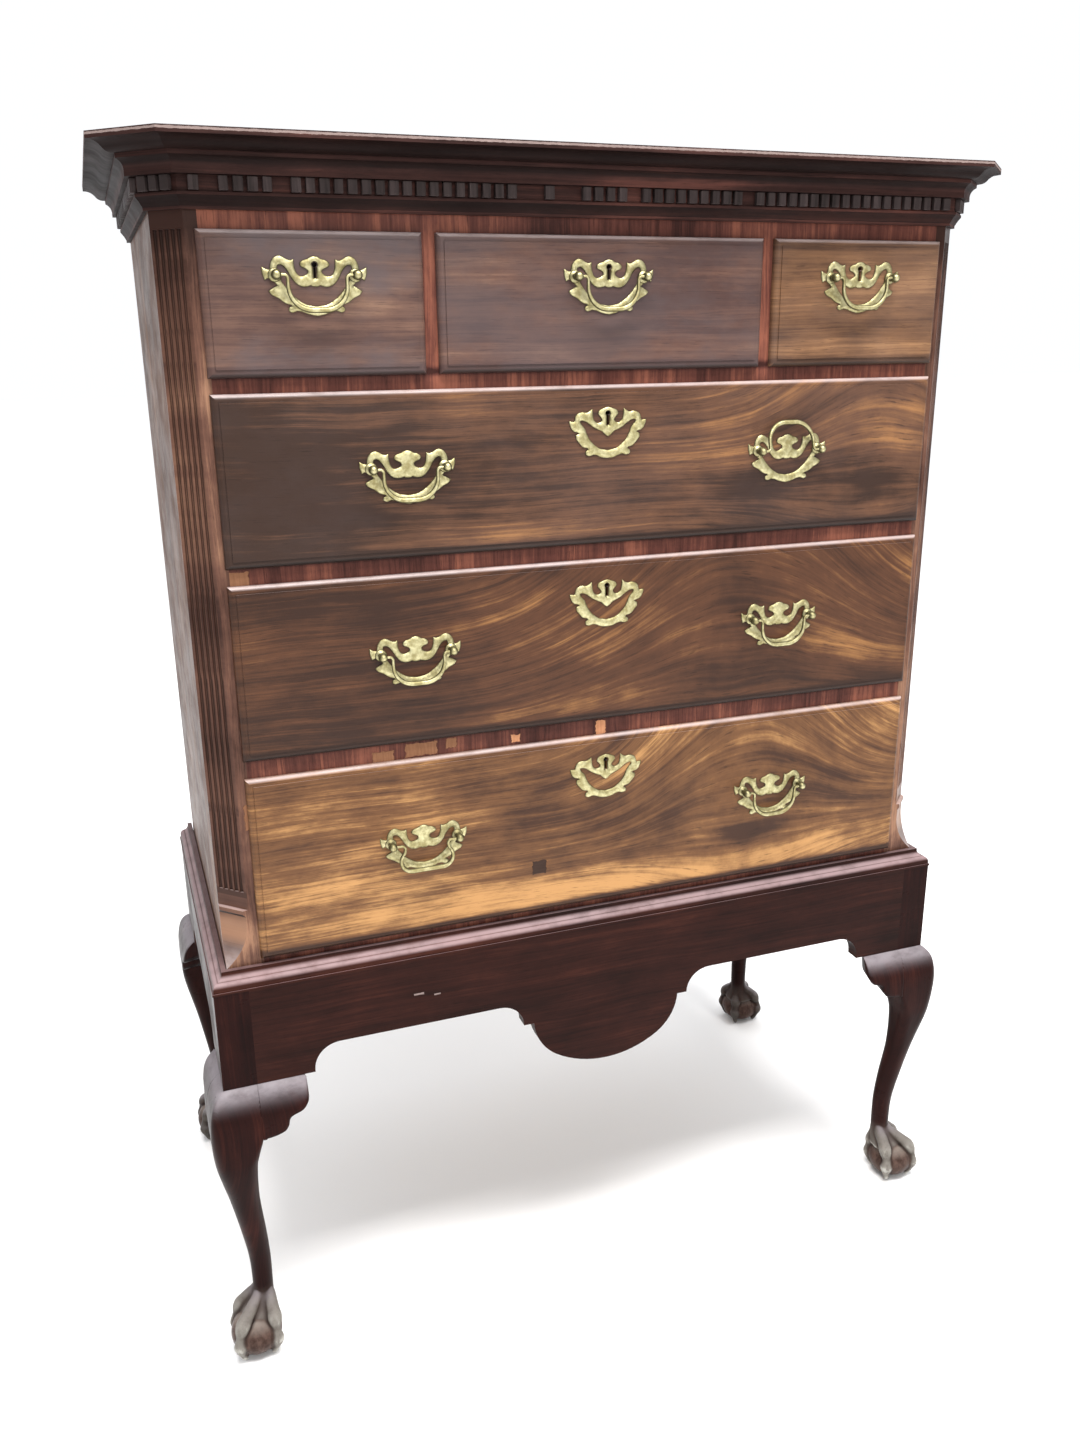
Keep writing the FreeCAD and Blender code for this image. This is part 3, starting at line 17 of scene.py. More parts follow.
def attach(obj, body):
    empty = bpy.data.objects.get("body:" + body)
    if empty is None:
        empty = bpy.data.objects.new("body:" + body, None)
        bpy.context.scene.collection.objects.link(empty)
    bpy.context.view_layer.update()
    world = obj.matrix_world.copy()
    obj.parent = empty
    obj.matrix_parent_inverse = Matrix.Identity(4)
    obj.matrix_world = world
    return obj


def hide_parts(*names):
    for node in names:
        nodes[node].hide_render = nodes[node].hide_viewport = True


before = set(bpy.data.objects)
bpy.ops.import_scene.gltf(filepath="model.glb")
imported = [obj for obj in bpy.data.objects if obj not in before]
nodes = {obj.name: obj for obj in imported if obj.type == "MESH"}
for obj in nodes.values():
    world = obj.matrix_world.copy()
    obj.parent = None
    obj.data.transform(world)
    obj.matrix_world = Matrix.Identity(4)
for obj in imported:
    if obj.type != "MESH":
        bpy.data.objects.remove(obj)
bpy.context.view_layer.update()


# %% [markdown]
# Every finish is a small network of shader nodes.  Written out node by node such a network is hard to
# read, so a socket is wrapped in a class that knows arithmetic: `a * 2 + b` then makes the Math nodes.

# %% Shader arithmetic


def add_node(tree, kind, inputs, settings):
    """The outputs of a new node.  Its inputs are plain values, or sockets that it is linked to."""
    made = tree.nodes.new(kind)
    for setting, value in settings.items():
        setattr(made, setting, value)
    for key, value in inputs.items():
        source = value.output if isinstance(value, Socket) else value
        if isinstance(source, bpy.types.NodeSocket):
            tree.links.new(source, made.inputs[key])
        else:
            made.inputs[key].default_value = source
    return made.outputs


def operators(operation):
    """An operator's two methods: this socket on its left, and this socket on its right."""
    return (lambda self, other: self._math(operation, self, other),
            lambda self, other: self._math(operation, other, self))


class Socket:
    """A number that varies over a surface: the output of a shader node."""

    def __init__(self, graph, output):
        self.graph = graph
        self.output = output

    def _math(self, operation, *values):
        return self.graph.node("ShaderNodeMath", values, operation=operation)

    __add__, __radd__ = operators("ADD")
    __sub__, __rsub__ = operators("SUBTRACT")
    __mul__, __rmul__ = operators("MULTIPLY")
    __truediv__, __rtruediv__ = operators("DIVIDE")

    def __neg__(self):
        return self * -1.0

    def absolute(self):
        return self._math("ABSOLUTE", self)

    def exp(self):
        return self._math("EXPONENT", self)

    def least(self, other):
        return self._math("MINIMUM", self, other)

    def most(self, other):
        return self._math("MAXIMUM", self, other)

    def clamped(self):
        return self.least(1.0).most(0.0)

    def ramp(self, low, high, start=0.0, end=1.0):
        """A smooth step from start to end while this goes from low to high."""
        limits = {"Value": self, "From Min": low, "From Max": high, "To Min": start, "To Max": end}
        return self.graph.node("ShaderNodeMapRange", limits, interpolation_type="SMOOTHSTEP")


# %% Graphs of nodes


class Graph:
    """The nodes of a new material, or of another tree that is given."""

    def __init__(self, name="", tree=None):
        if tree is None:
            self.material = bpy.data.materials.new(name)
            self.material.use_nodes = True
            tree = self.material.node_tree
        self.tree = tree
        self.tree.nodes.clear()

    def node(self, kind, inputs=(), output=0, **settings):
        """A node whose inputs are a dictionary, or a list in the order of its sockets."""
        pairs = inputs if isinstance(inputs, dict) else dict(enumerate(inputs))
        return Socket(self, add_node(self.tree, kind, pairs, settings)[output])

    def coordinates(self, output):
        """X, Y and Z of one output of Texture Coordinate."""
        vector = self.node("ShaderNodeTexCoord", output=output)
        parts = add_node(self.tree, "ShaderNodeSeparateXYZ", {0: vector}, {})
        return tuple(Socket(self, parts[axis]) for axis in "XYZ")

    def position(self):
        return self.coordinates("Object")

    def facing(self):
        """The way the surface faces, in the piece's own frame."""
        return self.coordinates("Normal")

    def attribute(self, name):
        """A number painted on the mesh's points."""
        return self.node("ShaderNodeAttribute", output="Fac", attribute_name=name)

    def noise(self, x, y, z, detail=4.0, roughness=0.55):
        """Cloudy values from 0 to 1 at a place that is given in the noise's own lengths."""
        place = self.node("ShaderNodeCombineXYZ", (x, y, z))
        return self.node("ShaderNodeTexNoise", {"Vector": place, "Scale": 1.0, "Detail": detail,
                                                "Roughness": roughness})

    def mix(self, factor, *colours):
        """A colour between two colours."""
        first, second = [colour if isinstance(colour, Socket) else (*colour, 1.0) for colour in colours]
        return self.node("ShaderNodeMix", {0: factor, 6: first, 7: second}, 2, data_type="RGBA")

    def finish(self, height=None, **inputs):
        """Close the material.  The height, in metres, bumps its normal."""
        shader = {name.replace("_", " "): value for name, value in inputs.items()}
        if height is not None:
            bump = {"Height": height, "Strength": 1.0, "Distance": 1.0}
            shader["Normal"] = self.node("ShaderNodeBump", bump)
        surface = self.node("ShaderNodeBsdfPrincipled", shader)
        add_node(self.tree, "ShaderNodeOutputMaterial", {"Surface": surface}, {})
        return self.material


# %% [markdown]
# Mahogany is figured by how the board was cut.  Straight boards show long streaks; a board cut near a
# fork of the tree shows streaks that arch over a dark core.  One function makes both: it squeezes the
# distance across the grain near the core, so that the streaks drawn along it bend into arches.

# %% Grain and figure
# Each noise is a scale along the grain, one across it, a shift, a detail and a roughness.
BROAD = (1.6, 17.0, 3.1, 4.0, 0.6)
NARROW = (3.0, 85.0, 7.7, 5.0, 0.65)
FINE = (5.0, 310.0, 9.4, 3.0, 0.6)
PORES = (36.0, 900.0, 1.3, 2.0, 0.6)


def streaks(graph, along, across, seed):
    """Broad bands, narrow streaks, fine lines and pores of a board, each from 0 to 1."""
    wander = graph.noise(along * 2.2, across * 5.0, seed, detail=3.0) - 0.5
    line = across + wander * 0.03
    return [graph.noise(along * lengthwise, line * crosswise, seed + shift, detail, roughness)
            for lengthwise, crosswise, shift, detail, roughness in (BROAD, NARROW, FINE, PORES)]


def over_core(along, across, core):
    """The distance across the grain with its lines arched over a core (x, z, width, strength)."""
    x, z, width, strength = core
    nearness = (along - x) / width
    swell = (nearness * nearness * -1.0).exp() * strength + 1.0
    return (across - z) / swell


def board_axes(grain, x, y, z):
    """The coordinates along the grain, across it, and through the board."""
    if grain == "x":
        return x, z, y
    if grain == "z":
        return z, x + y, y
    if grain == "round":
        return x + y, z, y
    return y, z, x


# %% [markdown]
# Thin old veneer chips at its edges, scratches go through the polish, and a hole is mended with a plug.
# Such a flaw could be a mesh of its own, but a box in the board's own coordinates is enough: inside it
# the wood is raw, dull and sunk, and a fine noise frays its edge.

# %% Patches
# Where the finish is gone: the dark and the light of what shows, and how ragged its edge is, in metres.
PATCHES = {
    "bare": ((0.36, 0.13, 0.06), (0.62, 0.32, 0.17), 0.007),
    "pale": ((0.15, 0.11, 0.10), (0.26, 0.20, 0.185), 0.002),
    "scraped": ((0.15, 0.066, 0.034), (0.30, 0.145, 0.078), 0.007),
    "plug": ((0.018, 0.010, 0.008), (0.050, 0.026, 0.017), 0.007),
}


def patch_mask(position, low, high, ragged):
    """1 in a box and 0 outside it.  The box is open along an axis whose ends are None."""
    depth = None
    for coordinate, start, end in zip(position, low, high):
        if start is not None:
            edge = (coordinate - start + ragged).least(end - coordinate + ragged)
            depth = edge if depth is None else depth.least(edge)
    return depth.ramp(-0.0004, 0.0004)


# %% [markdown]
# Years of brooms and mops strip the knuckles of a carved foot, and its most worn knuckles get a painted
# highlight while its hollows get painted shade.  The mesh carries how far each point stands proud, as
# painted numbers, and the finish reads them.

# %% Worn feet
# The foot's colours: dirt near the floor, bare wood, a painted highlight for the most worn knuckles, the
# ball's own dark and light tones, a painted highlight for the ball's top, and painted shade for the
# crevices.
DIRT = (0.060, 0.047, 0.039)
BARE_WOOD = (0.29, 0.275, 0.245)
KNUCKLE_HIGHLIGHT = (0.48, 0.47, 0.43)
BALL_DARK = (0.034, 0.018, 0.014)
BALL_LIGHT = (0.088, 0.054, 0.043)
BALL_HIGHLIGHT = (0.22, 0.19, 0.165)
CREVICE_SHADE = (0.012, 0.008, 0.007)


def worn_foot(graph, colour, x, y, z, face_z, wear):
    """The colour of a leg with its foot worn and dirty near the floor, with painted highlights on its most
    worn knuckles and on the top of its ball and painted shade in its hollows, and how worn it is.  The
    front feet have been kicked and mopped more than the back ones."""
    scuff = graph.noise(x * 110.0, y * 110.0, z * 60.0, roughness=0.7)
    front_foot = y.ramp(-0.1, 0.1, 1.0, 0.3)
    worn = (graph.attribute("worn") * scuff.ramp(0.2, 0.6, 0.45, 1.15)).clamped() * front_foot * wear
    colour = graph.mix(z.ramp(0.068, 0.102, 0.9, 0.0) * front_foot, colour, DIRT)
    colour = graph.mix(worn, colour, BARE_WOOD)
    # Painted highlight on the most worn knuckles.
    colour = graph.mix(worn.ramp(0.5, 0.78) * 0.6, colour, KNUCKLE_HIGHLIGHT)
    ball = graph.mix(scuff.ramp(0.3, 0.7), BALL_DARK, BALL_LIGHT)
    # Painted highlight on the top of the ball.
    ball = graph.mix(face_z.ramp(0.35, 0.95) * 0.6, ball, BALL_HIGHLIGHT)
    colour = graph.mix(graph.attribute("ball") * 0.95, colour, ball)
    # Painted shade in the hollows.
    colour = graph.mix(graph.attribute("hollow") * 0.9, colour, CREVICE_SHADE)
    return colour, worn


# %% Mahogany


def shade_of(colour, share):
    return tuple(part * share for part in colour)


def mahogany(name, grain, dark, middle, light, core=None, seed=1.0, gloss=0.32, lights=0.5, patches=(),
             blooms=(), wear=0.0, polish=0.3, highlight_and_shade=0.0, highlight_colour=(0.50, 0.41, 0.40), mottle=0.7, grey=0.0,
             cloudy=1.2, shaded_flutes=False):
    """Old polished mahogany.  Grain is the axis it runs along, or "round" for a moulding that goes round
    the case; core is where its lines arch, and seed sets one board apart from another.  Lights is how
    light the figure is, mottle and cloudy how uneven, and grey how far the old polish has clouded.  Gloss
    is its least roughness, and polish how strongly it mirrors.  Patches are (kind, low corner, high
    corner).  Blooms are (x, z, width, height, amount), paler where positive and darker where negative.
    Highlight_and_shade is how strongly a highlight in highlight_colour is painted on the faces that look
    up, and any amount of it also paints shade under the faces that look down; wear is for a carved leg,
    which gets that painted light too, and shaded_flutes paints shade into the flutes."""
    graph = Graph(name)
    x, y, z = graph.position()
    along, across, third = board_axes(grain, x, y, z)
    bent = over_core(along, across, core) if core else across
    broad, narrow, fine, pores = streaks(graph, along, bent, seed)
    cloud = graph.noise(x * 3.6, y * 3.6 + seed, z * 6.5, roughness=0.6)
    fleck = graph.noise(along * 13.0, bent * 34.0, seed + 5.2, detail=6.0, roughness=0.68)
    tone = (broad - 0.5) * 1.15 + (narrow - 0.5) * 0.9 + (cloud - 0.5) * cloudy + (fleck - 0.5) * mottle
    tone = tone + lights + (fine - 0.5) * 0.85
    for bloom_x, bloom_z, width, height, amount in blooms:
        sideways = (x - bloom_x) / width
        upward = (z - bloom_z) / height
        tone = tone + ((sideways * sideways + upward * upward) * -1.0).exp() * amount
    colour = graph.mix(tone.ramp(0.05, 0.62), dark, middle)
    colour = graph.mix(tone.ramp(0.5, 1.05), colour, light)
    colour = graph.mix(pores.ramp(0.6, 0.72) * 0.55, colour, shade_of(dark, 0.35))
    smear = graph.noise(x * 9.0, y * 9.0, z * 14.0 + seed, detail=5.0, roughness=0.7)
    rough = smear.ramp(0.35, 0.75, gloss, gloss + 0.2)
    relief = pores * -0.00008 + narrow * 0.00012
    if grey:
        clouded = graph.noise(x * 5.0, y * 5.0, z * 9.0 + seed * 3, detail=5.0, roughness=0.62)
        level = sum(middle) / 3
        haze = (level * 1.05, level * 0.82, level * 0.86)
        colour = graph.mix(clouded.ramp(0.38, 0.66) * grey, colour, haze)
    if patches:
        crumbs = graph.noise(x * 160.0, y * 160.0, z * 160.0) - 0.5
        fibres = graph.noise(along * 40.0, across * 400.0, third, detail=3.0)
    for kind, low, high in patches:
        dark_wood, light_wood, raggedness = PATCHES[kind]
        bare = patch_mask((x, y, z), low, high, crumbs * raggedness)
        colour = graph.mix(bare, colour, graph.mix(fibres, dark_wood, light_wood))
        rough = rough + bare * 0.4
        relief = relief - bare * 0.0008
    if highlight_and_shade or shaded_flutes:
        face_x, face_y, face_z = graph.facing()
    if shaded_flutes:
        # Painted shade in the flutes.
        slant = (face_x.absolute() + face_y.absolute()) * 0.7071
        flute_shade = slant.ramp(0.93, 0.995, 1.0, 0.0) * slant.ramp(0.72, 0.78)
        colour = graph.mix(flute_shade * 0.75, colour, shade_of(dark, 0.35))
    if highlight_and_shade:
        # Painted light: shade under the faces that look down, and a highlight, broken up by a noise, on the
        # faces that look up.
        highlight_breakup = graph.noise(x * 30.0, y * 30.0, z * 60.0, detail=5.0, roughness=0.65)
        upturned = face_z.ramp(0.15, 0.75) * face_z.ramp(0.93, 0.995, 1.0, 0.4)
        colour = graph.mix((-face_z).ramp(0.12, 0.6) * 0.8, colour, shade_of(dark, 0.25))
        colour = graph.mix(upturned * highlight_breakup.ramp(0.2, 0.6, 0.55, 1.0) * highlight_and_shade, colour, highlight_colour)
    if wear:
        colour, worn = worn_foot(graph, colour, x, y, z, face_z, wear)
        rough = rough + worn * 0.25
    return graph.finish(relief, Base_Color=colour, Roughness=rough.clamped(), IOR=1.5,
                        Specular_IOR_Level=polish)


# %% [markdown]
# The camera stands in front of the chest and to its left, a little lower than the cornice, and looks
# slightly down.  Its turn is an axis whose length is the angle, and its focal length is in pixels.

# %% Camera
IMAGE_HEIGHT = 1441.0
FOCAL_PIXELS = 1200.06
SENSOR = 36.0


def new_object(name, data):
    made = bpy.data.objects.new(name, data)
    bpy.context.scene.collection.objects.link(made)
    return made


eye = Vector((-0.6055, -1.6617, 1.3617))
turn = Vector((0.3061, -0.3470, -0.0651))
level_view = Matrix(((1, 0, 0), (0, 0, -1), (0, 1, 0)))
right, down, forward = Matrix.Rotation(turn.length, 3, turn.normalized()) @ level_view
camera_data = bpy.data.cameras.new("camera")
camera_data.sensor_fit = "VERTICAL"
camera_data.sensor_height = SENSOR
camera_data.lens = FOCAL_PIXELS / IMAGE_HEIGHT * SENSOR
camera = new_object("camera", camera_data)
rotation = Matrix((right, -down, -forward)).transposed().to_4x4()
camera.matrix_world = Matrix.Translation(eye) @ rotation
bpy.context.scene.camera = camera
print("lens of", round(camera_data.lens, 2), "mm")

# %% [markdown]
# Each drawer front was cut from its own board, so each has its own tones and its own figure.  The short
# drawers are clouded and even, and the long ones have a dark core that the streaks arch over.  Blooms are
# soft patches of lighter or darker wood, and a narrow dark one along each foot is painted shade on the
# underside of its lip.

# %% Tones of the drawers
drawer_tones = {
    "short_left": dict(
        dark=(0.068, 0.037, 0.031), middle=(0.118, 0.064, 0.047), light=(0.20, 0.115, 0.076), seed=2.0,
        lights=0.36, grey=0.85, mottle=1.1, blooms=((-0.30, 1.40, 0.05, 0.03, 0.28),)),
    "short_middle": dict(
        dark=(0.060, 0.031, 0.026), middle=(0.108, 0.055, 0.040), light=(0.19, 0.105, 0.070), seed=5.0,
        lights=0.36, grey=0.55, mottle=1.1, blooms=((0.06, 1.47, 0.05, 0.012, 0.35),)),
    "short_right": dict(
        dark=(0.055, 0.027, 0.016), middle=(0.138, 0.069, 0.035), light=(0.27, 0.142, 0.068), seed=8.0,
        lights=0.5, grey=0.2, blooms=()),
    "long_upper": dict(
        dark=(0.030, 0.015, 0.010), middle=(0.100, 0.046, 0.025), light=(0.28, 0.132, 0.050), seed=11.0,
        lights=0.40, grey=0.15, core=(0.40, 1.17, 0.14, 1.5),
        blooms=((-0.40, 1.20, 0.20, 0.2, -0.30), (0.45, 1.215, 0.09, 0.05, 0.45),
                (0.40, 1.165, 0.035, 0.015, -0.4), (-0.10, 1.125, 0.25, 0.025, 0.25))),
    "long_middle": dict(
        dark=(0.028, 0.012, 0.007), middle=(0.077, 0.031, 0.0145), light=(0.26, 0.122, 0.043), seed=15.0,
        lights=0.42, core=(0.20, 0.865, 0.20, 1.9),
        blooms=((-0.38, 1.0, 0.18, 0.2, -0.32), (0.40, 0.94, 0.12, 0.07, 0.38),
                (-0.12, 0.90, 0.22, 0.03, 0.25))),
    "long_lower": dict(
        dark=(0.040, 0.016, 0.008), middle=(0.130, 0.057, 0.022), light=(0.43, 0.225, 0.083), seed=21.0,
        lights=0.53, core=(0.22, 0.665, 0.15, 2.1), mottle=1.0, cloudy=0.8,
        patches=(("plug", (-0.107, None, 0.660), (-0.088, None, 0.679)),),
        blooms=((-0.34, 0.68, 0.22, 0.10, 0.14), (-0.05, 0.76, 0.12, 0.04, -0.3),
                (0.22, 0.672, 0.045, 0.014, -0.7), (0.0, 0.628, 0.5, 0.02, 0.42),
                (0.40, 0.72, 0.14, 0.07, -0.22))),
}

# %% Drawer fronts
# The height of each drawer's foot, in metres.
SHORT_FOOT = 1.323
DRAWER_FEET = {"long_lower": 0.607, "long_middle": 0.874, "long_upper": 1.110}
WHOLE_WIDTH = 9.0  # so wide that a bloom is the same from end to end


def dress(material, *names):
    for name in names:
        slots = nodes[name].data.materials
        slots.clear()
        slots.append(material)


for drawer, tones in drawer_tones.items():
    foot = DRAWER_FEET.get(drawer, SHORT_FOOT)
    # A painted shadow along the underside of each drawer's lip.
    tones["blooms"] += ((0.0, foot + 0.002, WHOLE_WIDTH, 0.005, -0.7),)
    # The fronts' lips get a painted highlight on their tops and painted shade under them.
    dress(mahogany(f"{drawer}_mahogany", "x", polish=0.2, highlight_and_shade=0.55, **tones), f"{drawer}_front")
print(len(drawer_tones), "drawer fronts")

# %% [markdown]
# The rails show where veneer has chipped off above the drawers' lips, and under each lip a painted shadow
# lies along the rail.  The fluted corners have painted shade in their flutes and a painted shadow up under
# the cornice, and are paler at their feet.  The sides are given a weak mirror, because the bright room that
# they face would otherwise wash their colour out.

# %% Rails, corners and sides
rail_chips = tuple((kind, (low, None, foot), (high, None, top)) for kind, low, high, foot, top in (
    ("scraped", -0.317, -0.289, 0.847, 0.860), ("scraped", -0.274, -0.232, 0.849, 0.866),
    ("scraped", -0.220, -0.206, 0.854, 0.867), ("bare", -0.131, -0.119, 0.851, 0.861),
    ("bare", -0.011, 0.004, 0.846, 0.866), ("scraped", -0.474, -0.450, 1.086, 1.102)))
# A painted shadow of each drawer's lip along the rail under it.
rail_lip_shadow = tuple((0.0, foot - 0.001, WHOLE_WIDTH, 0.004, -0.8)
                   for foot in (*DRAWER_FEET.values(), SHORT_FOOT))
dress(mahogany("rail_mahogany", "z", (0.034, 0.0115, 0.0092), (0.096, 0.032, 0.0235),
               (0.23, 0.080, 0.050), seed=31.0, polish=0.1, mottle=1.0, lights=0.58, blooms=rail_lip_shadow,
               patches=rail_chips), "rails_and_dividers")
# A painted shadow up under the cornice, and a paler patch at the foot of each corner.
corner_shade_and_tone = tuple((side * 0.52, z, 0.2, height, amount)
                      for z, height, amount in ((1.54, 0.10, -1.1), (0.635, 0.03, 0.5)) for side in (-1, 1))
# The corners get a painted highlight on the faces that look up and painted shade under those that look
# down.
dress(mahogany("corner_mahogany", "z", (0.034, 0.015, 0.011), (0.115, 0.055, 0.038),
               (0.28, 0.150, 0.092), seed=37.0, polish=0.1, highlight_and_shade=0.6, mottle=1.2, shaded_flutes=True,
               lights=0.52, blooms=corner_shade_and_tone,
               patches=(("scraped", (-0.4805, None, 0.780), (-0.4755, None, 0.814)),)),
      "fluted_corner_left", "fluted_corner_right")
dress(mahogany("side_mahogany", "z", (0.042, 0.018, 0.010), (0.100, 0.046, 0.026), (0.19, 0.098, 0.053),
               seed=41.0, gloss=0.3, polish=0.035), "side_left", "side_right")

# %% [markdown]
# The stand was stained darker than the case, and the cornice has gone nearly as dark.  Boards that nobody
# sees are cheaper pale wood that was never polished.

# %% Stand, cornice and top
STAND_TONES = ((0.009, 0.003, 0.0022), (0.021, 0.0060, 0.0042), (0.046, 0.013, 0.008))
apron_scratches = (("pale", (-0.283, None, 0.5165), (-0.269, None, 0.5195)),
                   ("pale", (-0.255, None, 0.5115), (-0.246, None, 0.5140)))
# The stand's moulding and apron, and the legs' knees below, get a painted highlight on the faces that look
# up and painted shade under those that look down.
stand_finish = mahogany("stand_mahogany", "x", *STAND_TONES, seed=47.0, gloss=0.28, polish=0.06,
                        highlight_and_shade=0.42, highlight_colour=(0.50, 0.36, 0.37), patches=apron_scratches)
dress(stand_finish, "front_apron", "stand_moulding")
dress(mahogany("stand_side_mahogany", "y", *STAND_TONES, seed=49.0, polish=0.06), "side_aprons")
leg_finish = mahogany("leg_mahogany", "z", (0.007, 0.0022, 0.0018), (0.015, 0.0038, 0.003),
                      (0.036, 0.009, 0.006), seed=53.0, gloss=0.26, wear=0.8, polish=0.05, highlight_and_shade=0.42,
                      highlight_colour=(0.44, 0.40, 0.43))
# A pale strip painted along the crest of the cornice.
pale_crest = ("pale", (None, None, 1.5615), (None, None, 1.5640))
# The cornice gets a painted highlight on the faces that look up and painted shade under those that look
# down.
dress(mahogany("cornice_mahogany", "round", (0.016, 0.0075, 0.0065), (0.038, 0.017, 0.0145),
               (0.105, 0.040, 0.031), seed=59.0, gloss=0.5, polish=0.06, highlight_and_shade=0.4,
               patches=(pale_crest,)), "cornice")
dress(mahogany("top_mahogany", "x", (0.020, 0.010, 0.008), (0.046, 0.022, 0.016), (0.095, 0.045, 0.032),
               seed=71.0, gloss=0.5, polish=0.1), "case_top")
dentil_finish = mahogany("dentil_mahogany", "z", (0.020, 0.015, 0.014), (0.045, 0.033, 0.032),
                         (0.085, 0.062, 0.06), seed=63.0, gloss=0.45, polish=0.08)

# %% Secondary wood
dress(mahogany("secondary_wood", "x", (0.20, 0.12, 0.06), (0.33, 0.22, 0.12), (0.46, 0.33, 0.19),
               seed=61.0, gloss=0.6), "case_bottom", "runners_and_guides", "dust_boards", "inner_rails",
      *[f"{drawer}_box" for drawer in drawer_tones])
dress(mahogany("back_wood", "z", (0.16, 0.10, 0.055), (0.28, 0.185, 0.10), (0.40, 0.28, 0.16),
               seed=67.0, gloss=0.65), "back_boards")

# %% [markdown]
# Old brass is bright on its rubbed front and dark on its slopes, where its tarnish sits and painted shade
# darkens them as well, so its colour follows how far the surface faces forward.  The locks are steel that
# has begun to rust.

# %% Metals


def metal(name, scale, roughness):
    """A new graph and its flaws, a fine noise of scale lumps in a metre."""
    graph = Graph(name)
    x, y, z = graph.position()
    return graph, graph.noise(x * scale, y * scale, z * scale, detail=6.0, roughness=roughness)


brass, tarnish = metal("old_brass", 120.0, 0.65)
front = -brass.facing()[1]
brass_colour = brass.mix(tarnish.ramp(0.34, 0.68), (0.30, 0.26, 0.12), (0.56, 0.52, 0.30))
# The slopes are darkened: tarnish, and painted shade.
brass_colour = brass.mix(front.ramp(0.6, 0.985, 0.88, 0.0), brass_colour, (0.06, 0.052, 0.022))
brass_finish = brass.finish(Base_Color=brass_colour, Metallic=0.9,
                            Roughness=tarnish.ramp(0.35, 0.7, 0.55, 0.42))
steel, rust = metal("lock_steel", 90.0, 0.7)
steel_colour = steel.mix(rust.ramp(0.5, 0.7), (0.26, 0.25, 0.24), (0.11, 0.06, 0.035))
steel_finish = steel.finish(Base_Color=steel_colour, Metallic=rust.ramp(0.5, 0.7, 1.0, 0.2),
                            Roughness=0.45)
dress(steel_finish, *[name for name in nodes if name.endswith(("_lock", "_bolt"))])

# %% [markdown]
# The carved and cast pieces below all end in the same way: points and faces become a mesh, the mesh gets
# its finish, and the piece rides on its body while the solid that it stands for is hidden.

# %% Making a piece
MM = 0.001


def shade_smooth(mesh, smooth=True):
    mesh.polygons.foreach_set("use_smooth", [smooth] * len(mesh.polygons))


def new_mesh(name, points, faces, smooth=True):
    mesh = bpy.data.meshes.new(name)
    mesh.from_pydata([tuple(point) for point in points], [], [tuple(face) for face in faces])
    mesh.update()
    shade_smooth(mesh, smooth)
    return mesh


def settle(piece):
    """Apply the piece's modifiers, so that what is left is a plain mesh."""
    bpy.context.view_layer.update()
    evaluated = piece.evaluated_get(bpy.context.evaluated_depsgraph_get())
    finished = bpy.data.meshes.new_from_object(evaluated)
    piece.modifiers.clear()
    piece.data = finished
    finished.name = piece.name


def set_finish(piece, body, slot, replaced, *finishes):
    if finishes:
        piece.data.materials.clear()
        for finish in finishes:
            piece.data.materials.append(finish)
    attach(piece, body)
    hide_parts(*replaced)
    piece.data.calc_loop_triangles()
    print(piece.name, len(piece.data.loop_triangles), "triangles")


class Heap:
    """Points and faces of several shells that make one mesh."""

    def __init__(self):
        self.points, self.faces = [], []

    def add(self, points, faces, shift=(0.0, 0.0, 0.0)):
        first = len(self.points)
        self.points += [tuple(np.add(point, shift)) for point in points]
        self.faces += [tuple(first + corner for corner in face) for face in faces]

    def piece(self, name, scale=MM):
        """An object of all the shells, which are in millimetres."""
        mesh = new_mesh(name, self.points, self.faces)
        mesh.transform(Matrix.Scale(scale, 4))
        return new_object(name, mesh)


# %% [markdown]
# A brass plate was cast in sand and filed to its outline, and its front was rounded with the file too.
# The outline is a closed line, and a Delaunay triangulation fills it.  Points inside it rise with their
# distance from the edge, which gives the swelling front that a bevel alone would not.

# %% Smooth outlines


def smooth_run(points, step):
    """Points about one step apart along a smooth curve through the given points."""
    points = [np.array(point, float) for point in points]
    if len(points) == 2:
        count = max(1, round(float(np.linalg.norm(points[1] - points[0])) / step))
        return [points[0] + (points[1] - points[0]) * part / count for part in range(count + 1)]
    padded = [2 * points[0] - points[1], *points, 2 * points[-1] - points[-2]]
    line = [points[0]]
    for before, start, end, after in zip(padded, padded[1:], padded[2:], padded[3:]):
        count = max(1, round(float(np.linalg.norm(end - start)) / step))
        for part in range(1, count + 1):
            t = part / count
            line.append(0.5 * (2 * start + (end - before) * t
                               + (2 * before - 5 * start + 4 * end - after) * t ** 2
                               + (3 * start - before - 3 * end + after) * t ** 3))
    return line


def joined_runs(start, runs, step):
    """Smooth runs that meet at sharp corners.  Each run goes on from where the last one ended."""
    line = []
    for run in runs:
        line += smooth_run([start, *run], step)[:-1]
        start = run[-1]
    return line + [np.array(start, float)]


def whole_outline(start, runs, step):
    """Both halves of an outline that is drawn from the top of the middle line round to its foot."""
    side = joined_runs(start, runs, step)
    return np.array(side + [point * (-1, 1) for point in reversed(side[1:-1])])


# %% Inside an outline
TINY = 1e-9


def edges_of(loops):
    return [edge for loop in loops for edge in zip(loop, np.roll(loop, -1, axis=0))]


def inside(points, loops):
    """Which points lie inside the loops, where a loop within a loop is a hole."""
    found = np.zeros(len(points), bool)
    for (x1, z1), (x2, z2) in edges_of(loops):
        if z1 != z2:
            spans = (points[:, 1] > z1) != (points[:, 1] > z2)
            found ^= spans & (points[:, 0] < (x2 - x1) * (points[:, 1] - z1) / (z2 - z1) + x1)
    return found


